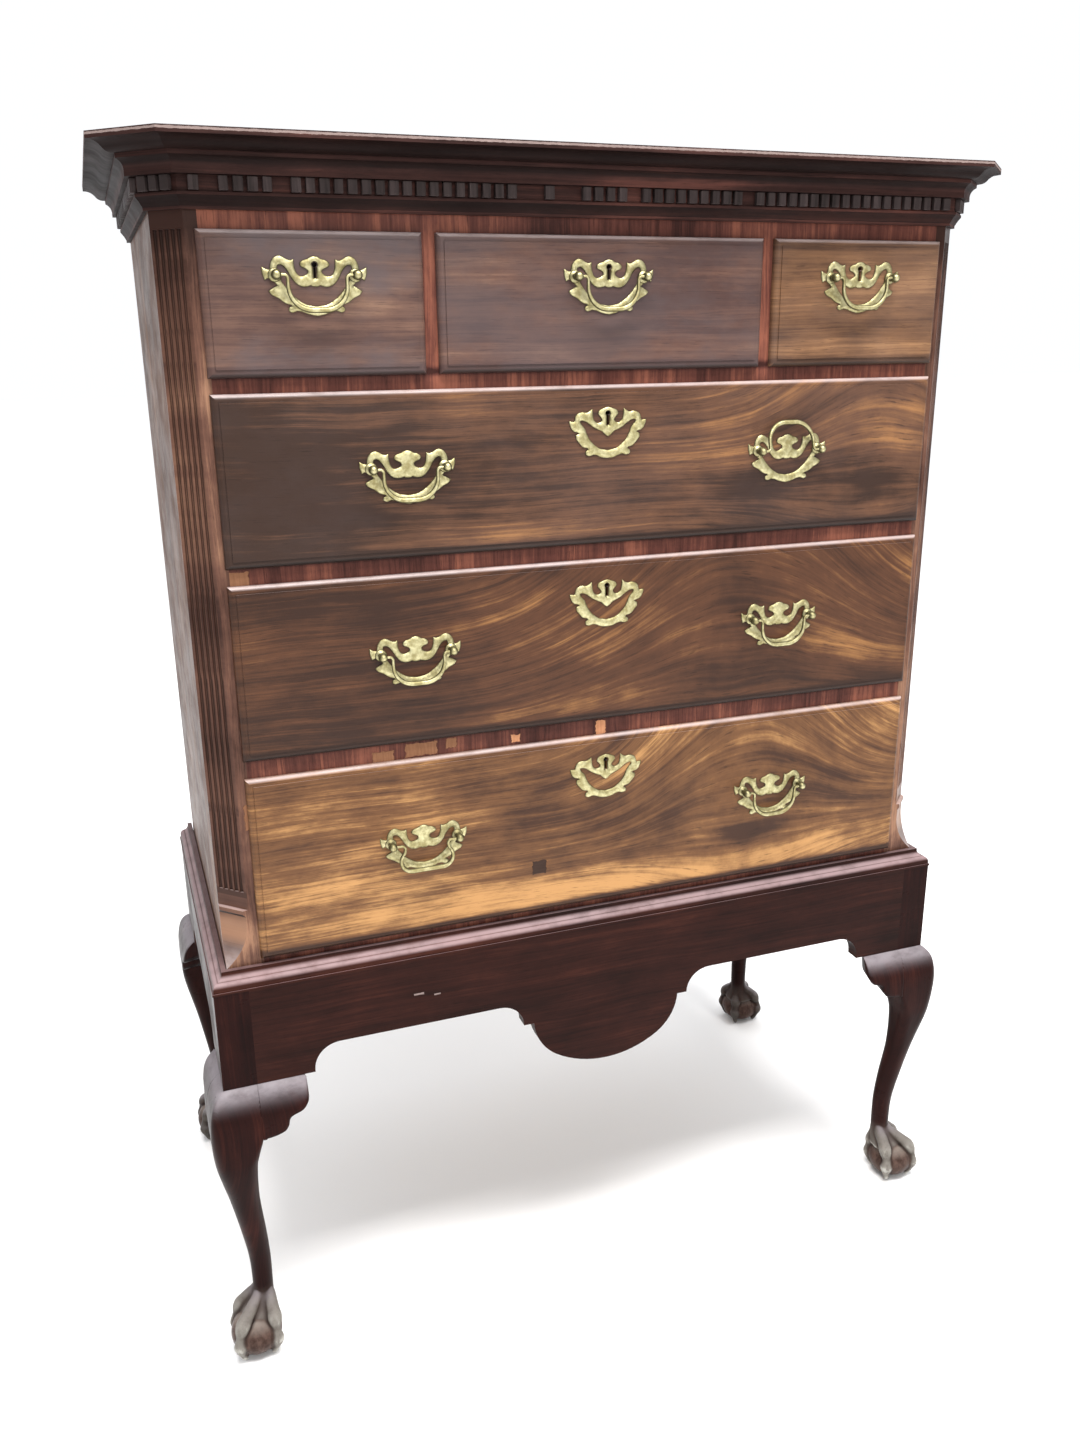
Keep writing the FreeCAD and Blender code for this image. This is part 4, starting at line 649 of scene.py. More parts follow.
def edge_distance(points, loops):
    """How far each point is from the nearest edge of the loops."""
    nearest = np.full(len(points), np.inf)
    for start, end in edges_of(loops):
        run = end - start
        part = np.clip(((points - start) @ run) / max(run @ run, 1e-12), 0, 1)
        nearest = np.minimum(nearest, np.linalg.norm(points - start - part[:, None] * run, axis=1))
    return nearest


def rim_edges(loops):
    """Pairs of the numbers of neighbouring points, loop by loop."""
    pairs, first = [], 0
    for loop in loops:
        pairs.append([(first + n, first + (n + 1) % len(loop)) for n in range(len(loop))])
        first += len(loop)
    return pairs


def filled(points, loops):
    """Counter-clockwise triangles that fill the loops, whose points come first in the list."""
    edges = [edge for pairs in rim_edges(loops) for edge in pairs]
    found = delaunay_2d_cdt([Vector(point) for point in points], edges, [], 0, TINY)
    places, faces = np.array([tuple(place) for place in found[0]]), np.array(found[2])
    corners = places[faces]
    area = np.cross(corners[:, 1] - corners[:, 0], corners[:, 2] - corners[:, 0])
    faces[area < 0] = faces[area < 0][:, ::-1]
    keep = inside(corners.mean(axis=1), loops) & (np.abs(area) > TINY)
    return places, faces[keep]


# %% A swelling plate
ROW_SHARE = 0.87  # rows of a triangular grid stand this share of its pitch apart


def ring_points(loops, rings):
    """Points beside each loop, at the distances of the rings, that lie inside the outline."""
    near = []
    for loop in loops:
        run = np.roll(loop, -1, axis=0) - np.roll(loop, 1, axis=0)
        length = np.maximum(np.linalg.norm(run, axis=1), TINY)
        normal = np.column_stack([-run[:, 1], run[:, 0]]) / length[:, None]
        for ring in rings:
            for sign in (1, -1):
                shifted = loop + normal * ring * sign
                shifted = shifted[inside(shifted, loops)]
                if len(shifted):
                    near.append(shifted[edge_distance(shifted, loops) > ring * 0.92])
    return near


def wall_faces(loops, first):
    """The walls between the outlines of a front and those of a back whose points start at first."""
    triangles = []
    for loop, pairs in zip(loops, rim_edges(loops)):
        counter_clockwise = np.sum(np.cross(loop, np.roll(loop, -1, axis=0))) > 0
        hole = loop is not loops[0]
        for a, b in pairs:
            if counter_clockwise == hole:
                a, b = b, a
            triangles += [(a, first + a, first + b), (a, first + b, b)]
    return triangles


def relief(loops, pitch, depth_at, back=0.0, rings=(0.5, 1.1)):
    """Points and faces of a plate in millimetres whose front stands depth_at(x, z, distance) out of
    y = 0, and whose back is flat.  Pitch is how far apart the points inside it are."""
    low, high = loops[0].min(axis=0), loops[0].max(axis=0)
    across, up = np.meshgrid(np.arange(low[0], high[0], pitch),
                             np.arange(low[1], high[1], pitch * ROW_SHARE))
    across[1::2] += pitch / 2
    grid = np.column_stack([across.ravel(), up.ravel()])
    grid = grid[inside(grid, loops)]
    grid = grid[edge_distance(grid, loops) > max(rings, default=0) + pitch * 0.45]
    rim = np.vstack(loops)
    places, faces = filled(np.vstack([rim, *ring_points(loops, rings), grid]), loops)
    depth = depth_at(places[:, 0], places[:, 1], edge_distance(places, loops))
    front = [(x, -out, z) for (x, z), out in zip(places, depth)]
    flat_places, flat_faces = filled(rim, loops)
    first = len(front)
    points = front + [(x, back, z) for x, z in flat_places]
    triangles = [tuple(face) for face in faces]
    triangles += [tuple(first + corner for corner in face[::-1]) for face in flat_faces]
    return np.array(points), triangles + wall_faces(loops, first)


# %% The plates' outlines
# Each plate has a rim and a hole.  Each of them is a first point and the runs that go on from it, down
# the left half, in millimetres from the middle of the posts or of the keyhole.
handle_plate = (
    ((0, 20), [
        [(-4.2, 19), (-7.8, 17), (-12.6, 15.6), (-15.8, 13.4), (-16.4, 10.8), (-14.4, 8.4), (-10.6, 7)],
        [(-8, 5), (-8.2, 2.4), (-11, 0.2), (-15, -1), (-18.6, 0.4), (-21.2, 4.6), (-22.4, 10.4),
         (-22.8, 16.8)],
        [(-26, 15.6), (-30.4, 16.6), (-35, 19.3), (-39.4, 20.2), (-44, 18.2), (-47.4, 14), (-48.9, 9.4),
         (-49.2, 5.6)],
        [(-53, 6.4), (-57.8, 9)],
        [(-58, 2.6), (-55.4, -5.4)],
        [(-51.5, -3.6), (-47.2, -5.6), (-42, -10.6)],
        [(-47.4, -13.4), (-52.2, -16.4)],
        [(-48.8, -20.6), (-42, -24), (-36.6, -28), (-31, -30.6)],
        [(-28.6, -31), (-27.6, -32)],
        [(-31, -33.8), (-31.4, -37), (-28, -39), (-24.6, -38.4), (-21.8, -37.2)],
        [(-16, -38.4), (-9, -41), (0, -42.8)],
    ]),
    ((0, -12), [
        [(-3.6, -11.6), (-5, -10.6)],
        [(-9, -11.8), (-14.8, -12), (-21.4, -8.6), (-26.4, -2.4), (-29.8, 3.6), (-33.4, 8.2),
         (-37.6, 10.8), (-40.8, 10)],
        [(-41, 5.6), (-38.8, 0), (-37.6, -5.4), (-34, -11), (-28.8, -17.6), (-22, -24), (-12, -30.2),
         (0, -32.4)],
    ]),
)
key_plate = (
    ((0, 8), [
        [(-6, 6.4), (-11.5, 4), (-13.6, -0.2), (-10.4, -4.2)],
        [(-8.4, -7.4), (-10.6, -10.4), (-14.8, -10.9), (-19, -7), (-20.4, -0.8), (-21.2, 6)],
        [(-25, 3.4), (-29, 1.6), (-34.4, 2.4), (-39.8, 1), (-43.5, -2.3), (-45.4, -8.8)],
        [(-52, -8.2)],
        [(-51.4, -12), (-48.8, -17.8), (-45.2, -21)],
        [(-38.6, -23)],
        [(-43.2, -25.2)],
        [(-42.8, -30), (-39.4, -34.2), (-34.7, -39.4), (-29.9, -41.2)],
        [(-27.6, -41.6), (-26.8, -42.8)],
        [(-30, -45.4), (-29.8, -49.4), (-25.2, -51.2), (-19.7, -49.8)],
        [(-14.3, -51), (-8, -53.6), (0, -54.5)],
    ]),
    ((0, -28.1), [
        [(-4, -25.7), (-8.1, -21.7)],
        [(-13.5, -19.5), (-19.6, -16.5), (-25, -12.5), (-30.3, -9.3), (-34.8, -8), (-37.6, -8.6)],
        [(-36.2, -11.4), (-31.1, -17.4), (-28.4, -23.8), (-24.4, -31), (-18.3, -37.3), (-10.9, -42.2),
         (0, -44.5)],
    ]),
)


def keyhole(z, radius=3.3, half_slot=1.9, drop=14):
    """A round eye at a height z with a slot under it."""
    eye = [(radius * math.cos(angle), z + radius * math.sin(angle))
           for angle in np.radians(np.linspace(-60, 240, 16))]
    return np.array(eye + [(-half_slot, z - drop), (half_slot, z - drop)])


def cast_front(x, z, distance):
    """How far a cast plate's front stands out: thin at the edge, full over its broad parts, and a little
    wavy as sand leaves it."""
    return 0.8 + 1.9 * (1 - np.exp(-distance / 1.7)) + 0.1 * np.sin(x * 0.9 + z * 0.6)


OUTLINE_STEP = 1.3
PLATE_PITCH = 1.5
patterns = {"plain": handle_plate, "key": handle_plate, "escutcheon": key_plate}
outlines = {name: [whole_outline(start, runs, OUTLINE_STEP) for start, runs in pattern]
            for name, pattern in patterns.items()}
outlines["key"].append(keyhole(11))
outlines["escutcheon"].append(keyhole(0))
plates = {name: relief(loops, PLATE_PITCH, cast_front) for name, loops in outlines.items()}
for name, (points, faces) in plates.items():
    print(name, "plate", len(faces), "triangles")

# %% [markdown]
# A handle post is turned: a collar on the plate, a thin neck and a round head that the bail turns in.
# Its shank goes through the drawer front to a nut.  Turning is a profile swept round an axis.

# %% Posts
NUT = [(0, -31.6), (2.4, -31.6), (2.4, -31.2), (6, -31.2), (6, -27.3), (2.4, -27.3)]
COLLAR = [(2.4, 1.6), (7.2, 1.6), (7.5, 2.6), (6.5, 3.5), (4.4, 4.3), (3.3, 6), (3.2, 8.6)]
HEAD = [(4.4, 10), (5.4, 12.2), (5.7, 14.8), (5.1, 17.3), (3.6, 19.2), (1.7, 20.3), (0, 20.5)]


def turned(profile, around=20):
    """Points and faces of a profile of (radius, height along -Y) turned about the Y axis."""
    points, faces, rings = [], [], []
    for radius, along in profile:
        rings.append(list(range(len(points), len(points) + (around if radius else 1))))
        angles = [2 * math.pi * n / around for n in range(around)] if radius else [0.0]
        points += [(radius * math.cos(angle), -along, radius * math.sin(angle)) for angle in angles]
    for lower, upper in zip(rings, rings[1:]):
        for n in range(around):
            following = (n + 1) % around
            a, b = lower[n % len(lower)], lower[following % len(lower)]
            c, d = upper[following % len(upper)], upper[n % len(upper)]
            faces.append(list(dict.fromkeys((a, b, c, d))))
    return points, faces


post = turned(NUT + COLLAR + HEAD)
print("post", len(post[1]), "faces")

# %% Brasses of each drawer
FRONT = -243.0
FIELD_FACE = FRONT - 9.2  # the drawers' fields stand out of the case's front
HANDLE_OFFSET = 257.0
HALF_SPACING = 44.5
SHORT_LEVEL = 1426.5
single_handles = {"short_left": -352.25, "short_middle": 0.0, "short_right": 352.25}
handle_levels = {drawer: SHORT_LEVEL for drawer in single_handles}
handle_levels.update(long_upper=1213.8, long_middle=988.8, long_lower=737.3)
key_levels = {"long_upper": 1268.0, "long_middle": 1052.0, "long_lower": 813.0}
for drawer, level in handle_levels.items():
    brasses = Heap()
    single = drawer in single_handles
    for x in [single_handles[drawer]] if single else [-HANDLE_OFFSET, HANDLE_OFFSET]:
        brasses.add(*plates["key" if single else "plain"], (x, FIELD_FACE, level))
        for side in (-1, 1):
            brasses.add(*post, (x + side * HALF_SPACING, FIELD_FACE, level))
    if drawer in key_levels:
        brasses.add(*plates["escutcheon"], (0, FIELD_FACE, key_levels[drawer]))
    piece = brasses.piece(f"{drawer}_plates_and_posts")
    set_finish(piece, f"{drawer}_drawer", "brass", [f"{drawer}_brasses"], brass_finish)

# %% [markdown]
# A bail is bent from a cast rod that is thin where it enters the posts and thickest at its foot.  The
# rod follows a line, so Geometry Nodes sweep a circle along it, and the circle's size comes from how far
# along the line it is.

# %% The sweeping tree


class Tree:
    """A geometry node tree with named inputs."""

    def __init__(self, name, inputs):
        self.tree = bpy.data.node_groups.new(name, "GeometryNodeTree")
        for label, kind in {"Geometry": "Geometry", **inputs}.items():
            self.tree.interface.new_socket(label, in_out="INPUT", socket_type=f"NodeSocket{kind}")
        self.tree.interface.new_socket("Geometry", in_out="OUTPUT", socket_type="NodeSocketGeometry")
        self.given = self.node("NodeGroupInput")

    def node(self, kind, inputs=None, **settings):
        return add_node(self.tree, kind, inputs or {}, settings)

    def finish(self, geometry):
        realized = self.node("GeometryNodeRealizeInstances", {"Geometry": geometry})["Geometry"]
        dressed = self.node("GeometryNodeSetMaterial",
                            {"Geometry": realized, "Material": self.given["Finish"]})["Geometry"]
        self.node("NodeGroupOutput", {"Geometry": dressed})

    def put_on(self, piece, **values):
        """Add the tree to a piece, with its inputs set by their sockets' identifiers."""
        modifier = piece.modifiers.new(self.tree.name, "NODES")
        modifier.node_group = self.tree
        for item in self.tree.interface.items_tree:
            if item.in_out == "INPUT" and item.name in values:
                modifier[item.identifier] = values[item.name]


rod_tree = Tree("bent_rod", {"Thin": "Float", "Thick": "Float", "Finish": "Material"})
line = rod_tree.node("GeometryNodeMeshToCurve", {"Mesh": rod_tree.given["Geometry"]})["Curve"]
part = rod_tree.node("GeometryNodeSplineParameter")["Factor"]
swing = rod_tree.node("ShaderNodeMath", {0: part, 1: math.pi}, operation="MULTIPLY")[0]
swell = rod_tree.node("ShaderNodeMath", {0: swing}, operation="SINE")[0]
full = rod_tree.node("ShaderNodeMath", {0: swell, 1: 1.6}, operation="POWER")[0]
limits = {"Value": full, "To Min": rod_tree.given["Thin"], "To Max": rod_tree.given["Thick"]}
size = rod_tree.node("ShaderNodeMapRange", limits)["Result"]
ring = rod_tree.node("GeometryNodeCurvePrimitiveCircle", {"Resolution": 14, "Radius": 1.0})["Curve"]
swept = rod_tree.node("GeometryNodeCurveToMesh", {"Curve": line, "Profile Curve": ring, "Scale": size,
                                                  "Fill Caps": True})["Mesh"]
rod_tree.finish(swept)

# %% The line of a bail
BAIL_DROP = 36.5
ROD_END = [(-44.2, 0), (-40, 0)]
SHOULDER = 4.0
FOOT_BEND = 25.0
NECK_BEND = 14.0
BELLY_BEND = 14.78
BELLY_X, BELLY_Z = 8.68, -21.72


def arc(centre, radius, start, end, count=10):
    return [(centre[0] + radius * math.cos(angle), centre[1] + radius * math.sin(angle))
            for angle in np.radians(np.linspace(start, end, count))]


def bail_line(swan_necked):
    """The middle of the rod from the left post's head to the right one's, hanging from y = z = 0."""
    side = 28.5 if swan_necked else 32.5
    left = ROD_END + arc((-side - SHOULDER, -SHOULDER), SHOULDER, 90, 0)
    if swan_necked:
        left += arc((-side - NECK_BEND, -SHOULDER), NECK_BEND, -3, -38, 8)
        left += arc((-side + BELLY_X, BELLY_Z), BELLY_BEND, 142, 268, 22)
    else:
        left += arc((-side + FOOT_BEND, -BAIL_DROP + FOOT_BEND), FOOT_BEND, 180, 268, 18)
    return left + [(-x, z) for x, z in reversed(left)]


# %% Bails
POST_REACH = 14.8
THIN = 1.75 * MM
THICK = 3.3 * MM
TURNED_UP = math.radians(-195)


def add_bail(drawer, side, x, level):
    """One bail.  The lowest drawer's left one has a swan's neck, and the upper long drawer's right one is
    turned up."""
    name = f"{drawer}_bail{side}"
    flat = bail_line(name == "long_lower_bail_left")
    edges = [(n, n + 1) for n in range(len(flat) - 1)]
    mesh = bpy.data.meshes.new(name)
    mesh.from_pydata([(across, 0, up) for across, up in flat], edges, [])
    if name == "long_upper_bail_right":
        mesh.transform(Matrix.Rotation(TURNED_UP, 4, "X"))
    mesh.transform(Matrix.Translation((x, FIELD_FACE - POST_REACH, level)))
    mesh.transform(Matrix.Scale(MM, 4))
    piece = new_object(f"{name}_rod", mesh)
    rod_tree.put_on(piece, Thin=THIN, Thick=THICK, Finish=brass_finish)
    settle(piece)
    shade_smooth(piece.data)
    set_finish(piece, f"{name}_swing", "brass", [name])


for drawer, level in handle_levels.items():
    if drawer in single_handles:
        add_bail(drawer, "", single_handles[drawer], level)
    else:
        add_bail(drawer, "_left", -HANDLE_OFFSET, level)
        add_bail(drawer, "_right", HANDLE_OFFSET, level)

# %% [markdown]
# Dentils are little blocks sawn from one strip and glued on one by one, so no two sit quite alike, and
# some have come off.  A mesh of lone points says where they belong and which way they face.  The tree
# puts a block on each point, tilts and sizes it a little by a fixed seed, and makes all of them real.

# %% The tree of the dentils
dentil_tree = Tree("dentil_row", {"Width": "Float", "Depth": "Float", "Height": "Float", "Seed": "Int",
                                  "Finish": "Material"})
given = dentil_tree.given
sizes = {"X": given["Width"], "Y": given["Depth"], "Z": given["Height"]}
block_size = dentil_tree.node("ShaderNodeCombineXYZ", sizes)["Vector"]
block = dentil_tree.node("GeometryNodeMeshCube", {"Size": block_size})["Mesh"]


def random_vector(low, high):
    limits = {"Min": low, "Max": high, "Seed": given["Seed"]}
    return dentil_tree.node("FunctionNodeRandomValue", limits, data_type="FLOAT_VECTOR")["Value"]


facing = dentil_tree.node("GeometryNodeInputNamedAttribute", {"Name": "facing"}, data_type="FLOAT_VECTOR")
tilt = random_vector((-0.012, -0.02, -0.025), (0.012, 0.02, 0.025))
turned_to = dentil_tree.node("ShaderNodeVectorMath", {0: facing["Attribute"], 1: tilt}, operation="ADD")
stretch = random_vector((0.90, 0.94, 0.96), (1.06, 1.0, 1.0))
rows = dentil_tree.node("GeometryNodeInstanceOnPoints", {
    "Points": given["Geometry"], "Instance": block, "Rotation": turned_to["Vector"], "Scale": stretch})
dentil_tree.finish(rows["Instances"])

# %% Dentils
PITCH = 15.3
ROW_LEVEL = 1517.3
ROW_OUT = 12.5
LOST = {-30, -25, -7, -6, -4, -3, 2, 12}
# Each row's middle, its turn, the number of its last block each way, and the blocks that are lost.
rows_of_dentils = [((0, FRONT), 0, 31, LOST), ((-503.5, -226.5), -45, 1, ()),
                   ((503.5, -226.5), 45, 1, ()), ((-520, 26), -90, 15, ()), ((520, 26), 90, 15, ())]
spots, turns = [], []
for (x, y), turn, last, lost in rows_of_dentils:
    along = Vector((math.cos(math.radians(turn)), math.sin(math.radians(turn))))
    out = Vector((along.y, -along.x))
    for number in range(-last, last + 1):
        if number not in lost:
            spot = Vector((x, y)) + along * PITCH * number + out * ROW_OUT
            spots.append((spot.x * MM, spot.y * MM, ROW_LEVEL * MM))
            turns += [0.0, 0.0, math.radians(turn)]
mesh = new_mesh("dentil_blocks", spots, [])
mesh.attributes.new("facing", "FLOAT_VECTOR", "POINT").data.foreach_set("vector", turns)
dentil_blocks = new_object("dentil_blocks", mesh)
dentil_tree.put_on(dentil_blocks, Width=10.5 * MM, Depth=7 * MM, Height=15 * MM, Seed=4,
                   Finish=dentil_finish)
edge = dentil_blocks.modifiers.new("edge", "BEVEL")
edge.width, edge.segments = 0.5 * MM, 1
settle(dentil_blocks)
set_finish(dentil_blocks, "carcase", "mahogany_cornice", ["dentils"])
print(len(spots), "dentils")

# %% [markdown]
# A cabriole leg is sawn from a square post and rounded with rasp and spokeshave, so each level is a
# square with soft corners that moves in and out.  The foot is carved: a ball that four talons grip.  The
# levels are lofted, the talons are tapered rods with knuckles, and a voxel remesh melts them into one
# skin, as carving them from one block does.

# %% The leg's levels
SQRT2 = math.sqrt(2.0)
STILE = 44.0
LEG_HEIGHT = 432.0
BALL = 36.0
BALL_RISE = 31.5
BALL_INSET = 12.0  # how far in from the stile's two outer faces the ball's axis stands
# height, outer face, inner face, outer and inner corner, side corners
LEG_LEVELS = [
    (432, 1.5, 44, 2.5, 0.8), (427, -6.2, 44, 4, 0.8), (418, -13.4, 44, 6.5, 0.9),
    (404, -18.4, 44, 9.5, 1.0), (384, -21.5, 44, 13, 1.2), (362, -22, 43.7, 15.5, 2.5),
    (335, -20.9, 37.8, 18.5, 9), (309, -17.6, 33.9, 19.5, 14.5), (250, -5.2, 33.6, 18, 16.7),
    (187, 6, 38.6, 15, 15), (140, 12.4, 41.4, 13.5, 13.5), (98, 13.6, 41.4, 13, 13),
    (86, 12.9, 41.2, 13, 13), (74, 6.5, 42, 16, 16), (64, -2.5, 43.5, 20, 20), (54, -9, 44.5, 24, 24),
]


def at_heights(heights, column):
    """One of the leg's measurements at some heights, on a smooth curve through the levels."""
    line = np.array(smooth_run([(level[0], level[column]) for level in LEG_LEVELS], 1.0))
    return np.interp(-np.asarray(heights, float), -line[:, 0], line[:, 1])


def knee_at(height):
    """How far the knee swells out of the apron's face at a height."""
    return -at_heights(height, 1)


def level_points(outer, inner, corner, side, count=9):
    """A square with soft corners whose diagonal is the leg's X axis."""
    centre = BALL_INSET * SQRT2 - (outer + inner) / SQRT2
    half = (inner - outer) / 2
    points = []
    for quarter in range(4):
        bend = side if quarter % 2 else corner
        way = quarter * math.pi / 2
        out = (half - bend) * SQRT2
        for angle in np.linspace(way - math.pi / 4, way + math.pi / 4, count):
            points.append((centre + out * math.cos(way) + bend * math.cos(angle),
                           out * math.sin(way) + bend * math.sin(angle)))
    return points


# %% Skins and rods


def skin(rings):
    """Points and faces of a closed shell through rings of equal count, the highest ring first."""
    count = len(rings[0])
    points = [point for ring in rings for point in ring]
    faces = [tuple(range(count)), tuple(range(len(points) - 1, len(points) - 1 - count, -1))]
    for first in range(0, len(points) - count, count):
        for n in range(count):
            following = (n + 1) % count
            faces.append((first + n, first + count + n, first + count + following, first + following))
    return points, faces


def tapered(path, around=16):
    """A closed rod along a path of (x, y, z, radius), the highest point first."""
    path = [np.array(point, float) for point in path]
    rings = []
    for n, point in enumerate(path):
        run = path[min(n + 1, len(path) - 1)][:3] - path[max(n - 1, 0)][:3]
        run /= np.linalg.norm(run)
        side = np.cross(run, (0.0, 1.0, 0.0) if abs(run[1]) < 0.9 else (1.0, 0.0, 0.0))
        side /= np.linalg.norm(side)
        other = np.cross(run, side)
        rings.append([tuple(point[:3] + point[3] * (side * math.cos(angle) - other * math.sin(angle)))
                      for angle in np.linspace(0, 2 * math.pi, around, endpoint=False)])
    return skin(rings)


# %% Talons
TALON_STEP = 0.07
# height, distance out, distance aside and radius, as shares of the ball's radius
CLAW = [(1.06, 0.95, 0, 0.21), (0.82, 0.97, 0, 0.275), (0.64, 0.95, 0, 0.225), (0.48, 0.91, 0, 0.165),
        (0.31, 0.85, 0, 0.145), (0.15, 0.78, 0, 0.115), (0.04, 0.73, 0, 0.06)]
TALONS = {
    0: [(2.5, -0.44, 0, 0.19), (2.2, -0.22, 0, 0.23), (2.0, 0.12, 0, 0.25), (1.82, 0.47, 0, 0.255),
        (1.64, 0.73, 0, 0.29), (1.44, 0.86, 0, 0.255), (1.26, 0.92, 0, 0.19), *CLAW],
    180: [(2.5, 0.80, 0, 0.19), (2.0, 0.80, 0, 0.22), (1.7, 0.85, 0, 0.25), (1.44, 0.91, 0, 0.275),
          (1.2, 0.95, 0, 0.2), (1.0, 0.97, 0, 0.205), (0.82, 0.98, 0, 0.25), (0.64, 0.96, 0, 0.21),
          (0.48, 0.92, 0, 0.165), (0.31, 0.86, 0, 0.14), (0.15, 0.79, 0, 0.115), (0.04, 0.74, 0, 0.06)],
    -90: [(2.5, 0.20, -0.62, 0.19), (2.2, 0.36, -0.52, 0.23), (2.0, 0.53, -0.36, 0.25),
          (1.82, 0.68, -0.24, 0.26), (1.64, 0.80, -0.15, 0.29), (1.44, 0.88, -0.08, 0.255),
          (1.26, 0.92, -0.03, 0.19), *CLAW],
}
TALONS[90] = [(height, out, -aside, radius) for height, out, aside, radius in TALONS[-90]]


def talon_path(way, talon):
    """A talon's points in millimetres, turned to its way round the ball."""
    cosine, sine = math.cos(math.radians(way)), math.sin(math.radians(way))
    return [((out * cosine - aside * sine) * BALL, (out * sine + aside * cosine) * BALL, height * BALL,
             radius * BALL) for height, out, aside, radius in smooth_run(talon, TALON_STEP)]


# %% Wear on the foot
# The height where the wear starts, how far down it grows to the full, and how far proud of its neighbours a
# point is worn through or how far below them it gets the full painted shade, in millimetres.
FOOT_TOP = 96
FOOT_BLEND = 34
WORN_AT = 0.65
SHADED_AT = 0.5
BALL_SIZE = (BALL * 0.98, BALL * 0.98, BALL_RISE)


def point_values(mesh, name, values):
    mesh.attributes.new(name, "FLOAT", "POINT").data.foreach_set("value", values)


def paint_wear(mesh):
    """Paint how far each point stands proud of its neighbours or lies below them: brooms and mops wear the
    first, and the second is darkened with painted shade."""
    count = len(mesh.vertices)
    places, normals = np.empty(count * 3), np.empty(count * 3)
    ends = np.empty(len(mesh.edges) * 2, int)
    mesh.vertices.foreach_get("co", places)
    mesh.vertices.foreach_get("normal", normals)
    mesh.edges.foreach_get("vertices", ends)
    places, normals, ends = places.reshape(-1, 3), normals.reshape(-1, 3), ends.reshape(-1, 2)
    neighbours = np.maximum(np.bincount(ends.ravel(), minlength=count), 1)

    def spread(values, times):
        """The mean of each point's neighbours, taken several times over."""
        for _ in range(times):
            total = np.zeros_like(values)
            np.add.at(total, ends[:, 0], values[ends[:, 1]])
            np.add.at(total, ends[:, 1], values[ends[:, 0]])
            values = total / (neighbours if values.ndim == 1 else neighbours[:, None])
        return values

    proud = spread(np.einsum("ij,ij->i", places - spread(places, 6), normals), 3)
    foot = np.clip((FOOT_TOP - places[:, 2]) / FOOT_BLEND, 0, 1)
    worn = np.clip(0.10 + proud / WORN_AT, 0, 1) * foot
    off_ball = np.linalg.norm((places - (0, 0, BALL_RISE)) / BALL_SIZE, axis=1) - 1
    on_ball = np.clip(1.6 - np.abs(off_ball) * 28, 0, 1)
    point_values(mesh, "worn", worn * (1 - on_ball))
    point_values(mesh, "ball", on_ball)
    point_values(mesh, "hollow", np.clip(-0.15 - proud / SHADED_AT, 0, 1) * foot)
    print("worn points", int((worn > 0.3).sum()), "of", count)


# %% The carved leg
VOXEL = 1.5


def add_ball(carved):
    ball = bmesh.new()
    place = Matrix.Translation((0, 0, BALL_RISE)) @ Matrix.Diagonal((*BALL_SIZE, 1.0))
    bmesh.ops.create_icosphere(ball, subdivisions=4, radius=1.0, matrix=place)
    ball.verts.index_update()
    carved.add([tuple(vertex.co) for vertex in ball.verts],
               [tuple(vertex.index for vertex in face.verts) for face in ball.faces])
    ball.free()


def leg_shape():
    """The carved leg in its own frame: the ball stands on the origin and X points out."""
    carved = Heap()
    heights = np.concatenate([np.linspace(LEG_HEIGHT, 360, 30), np.linspace(357, 54, 80)])
    columns = [at_heights(heights, column) for column in range(1, 5)]
    rings = [[(x, y, height) for x, y in reversed(level_points(*numbers))]
             for height, *numbers in zip(heights, *columns)]
    carved.add(*skin(rings))
    for way, talon in TALONS.items():
        carved.add(*tapered(talon_path(way, talon)))
    add_ball(carved)
    piece = carved.piece("leg_pattern", 1.0)
    melt = piece.modifiers.new("melt", "REMESH")
    melt.mode, melt.voxel_size = "VOXEL", VOXEL
    soften = piece.modifiers.new("soften", "SMOOTH")
    soften.factor, soften.iterations = 0.5, 2
    settle(piece)
    for vertex in piece.data.vertices:
        vertex.co.z = min(max(vertex.co.z, 0.0), LEG_HEIGHT)
    shade_smooth(piece.data)
    paint_wear(piece.data)
    return piece


pattern = leg_shape()

# %% Legs
STAND_HALF = 541.0
STAND_FRONT = -264.0
STAND_BACK = 277.0
STAND_TOP = 570.0
stile_box = [(x, y, z) for z in (LEG_HEIGHT, STAND_TOP)
             for x, y in ((0, 0), (STILE, 0), (STILE, STILE), (0, STILE))]
stile_faces = [(3, 2, 1, 0), (4, 5, 6, 7), (0, 1, 5, 4), (1, 2, 6, 5), (2, 3, 7, 6), (3, 0, 4, 7)]
# Each leg's sides of the stand in X and Y, and the way its knee points.
CORNERS = {"leg_front_left": (-1, -1, -135), "leg_front_right": (1, -1, -45),
           "leg_back_left": (-1, 1, 135), "leg_back_right": (1, 1, 45)}


def add_stile(mesh, stile):
    """Put a flat-faced stile on a leg, with the second of its finishes."""
    whole = bmesh.new()
    whole.from_mesh(mesh)
    carved_faces = len(whole.faces)
    whole.from_mesh(stile)
    whole.faces.ensure_lookup_table()
    for face in whole.faces[carved_faces:]:
        face.material_index = 1
        face.smooth = False
    whole.to_mesh(mesh)
    whole.free()


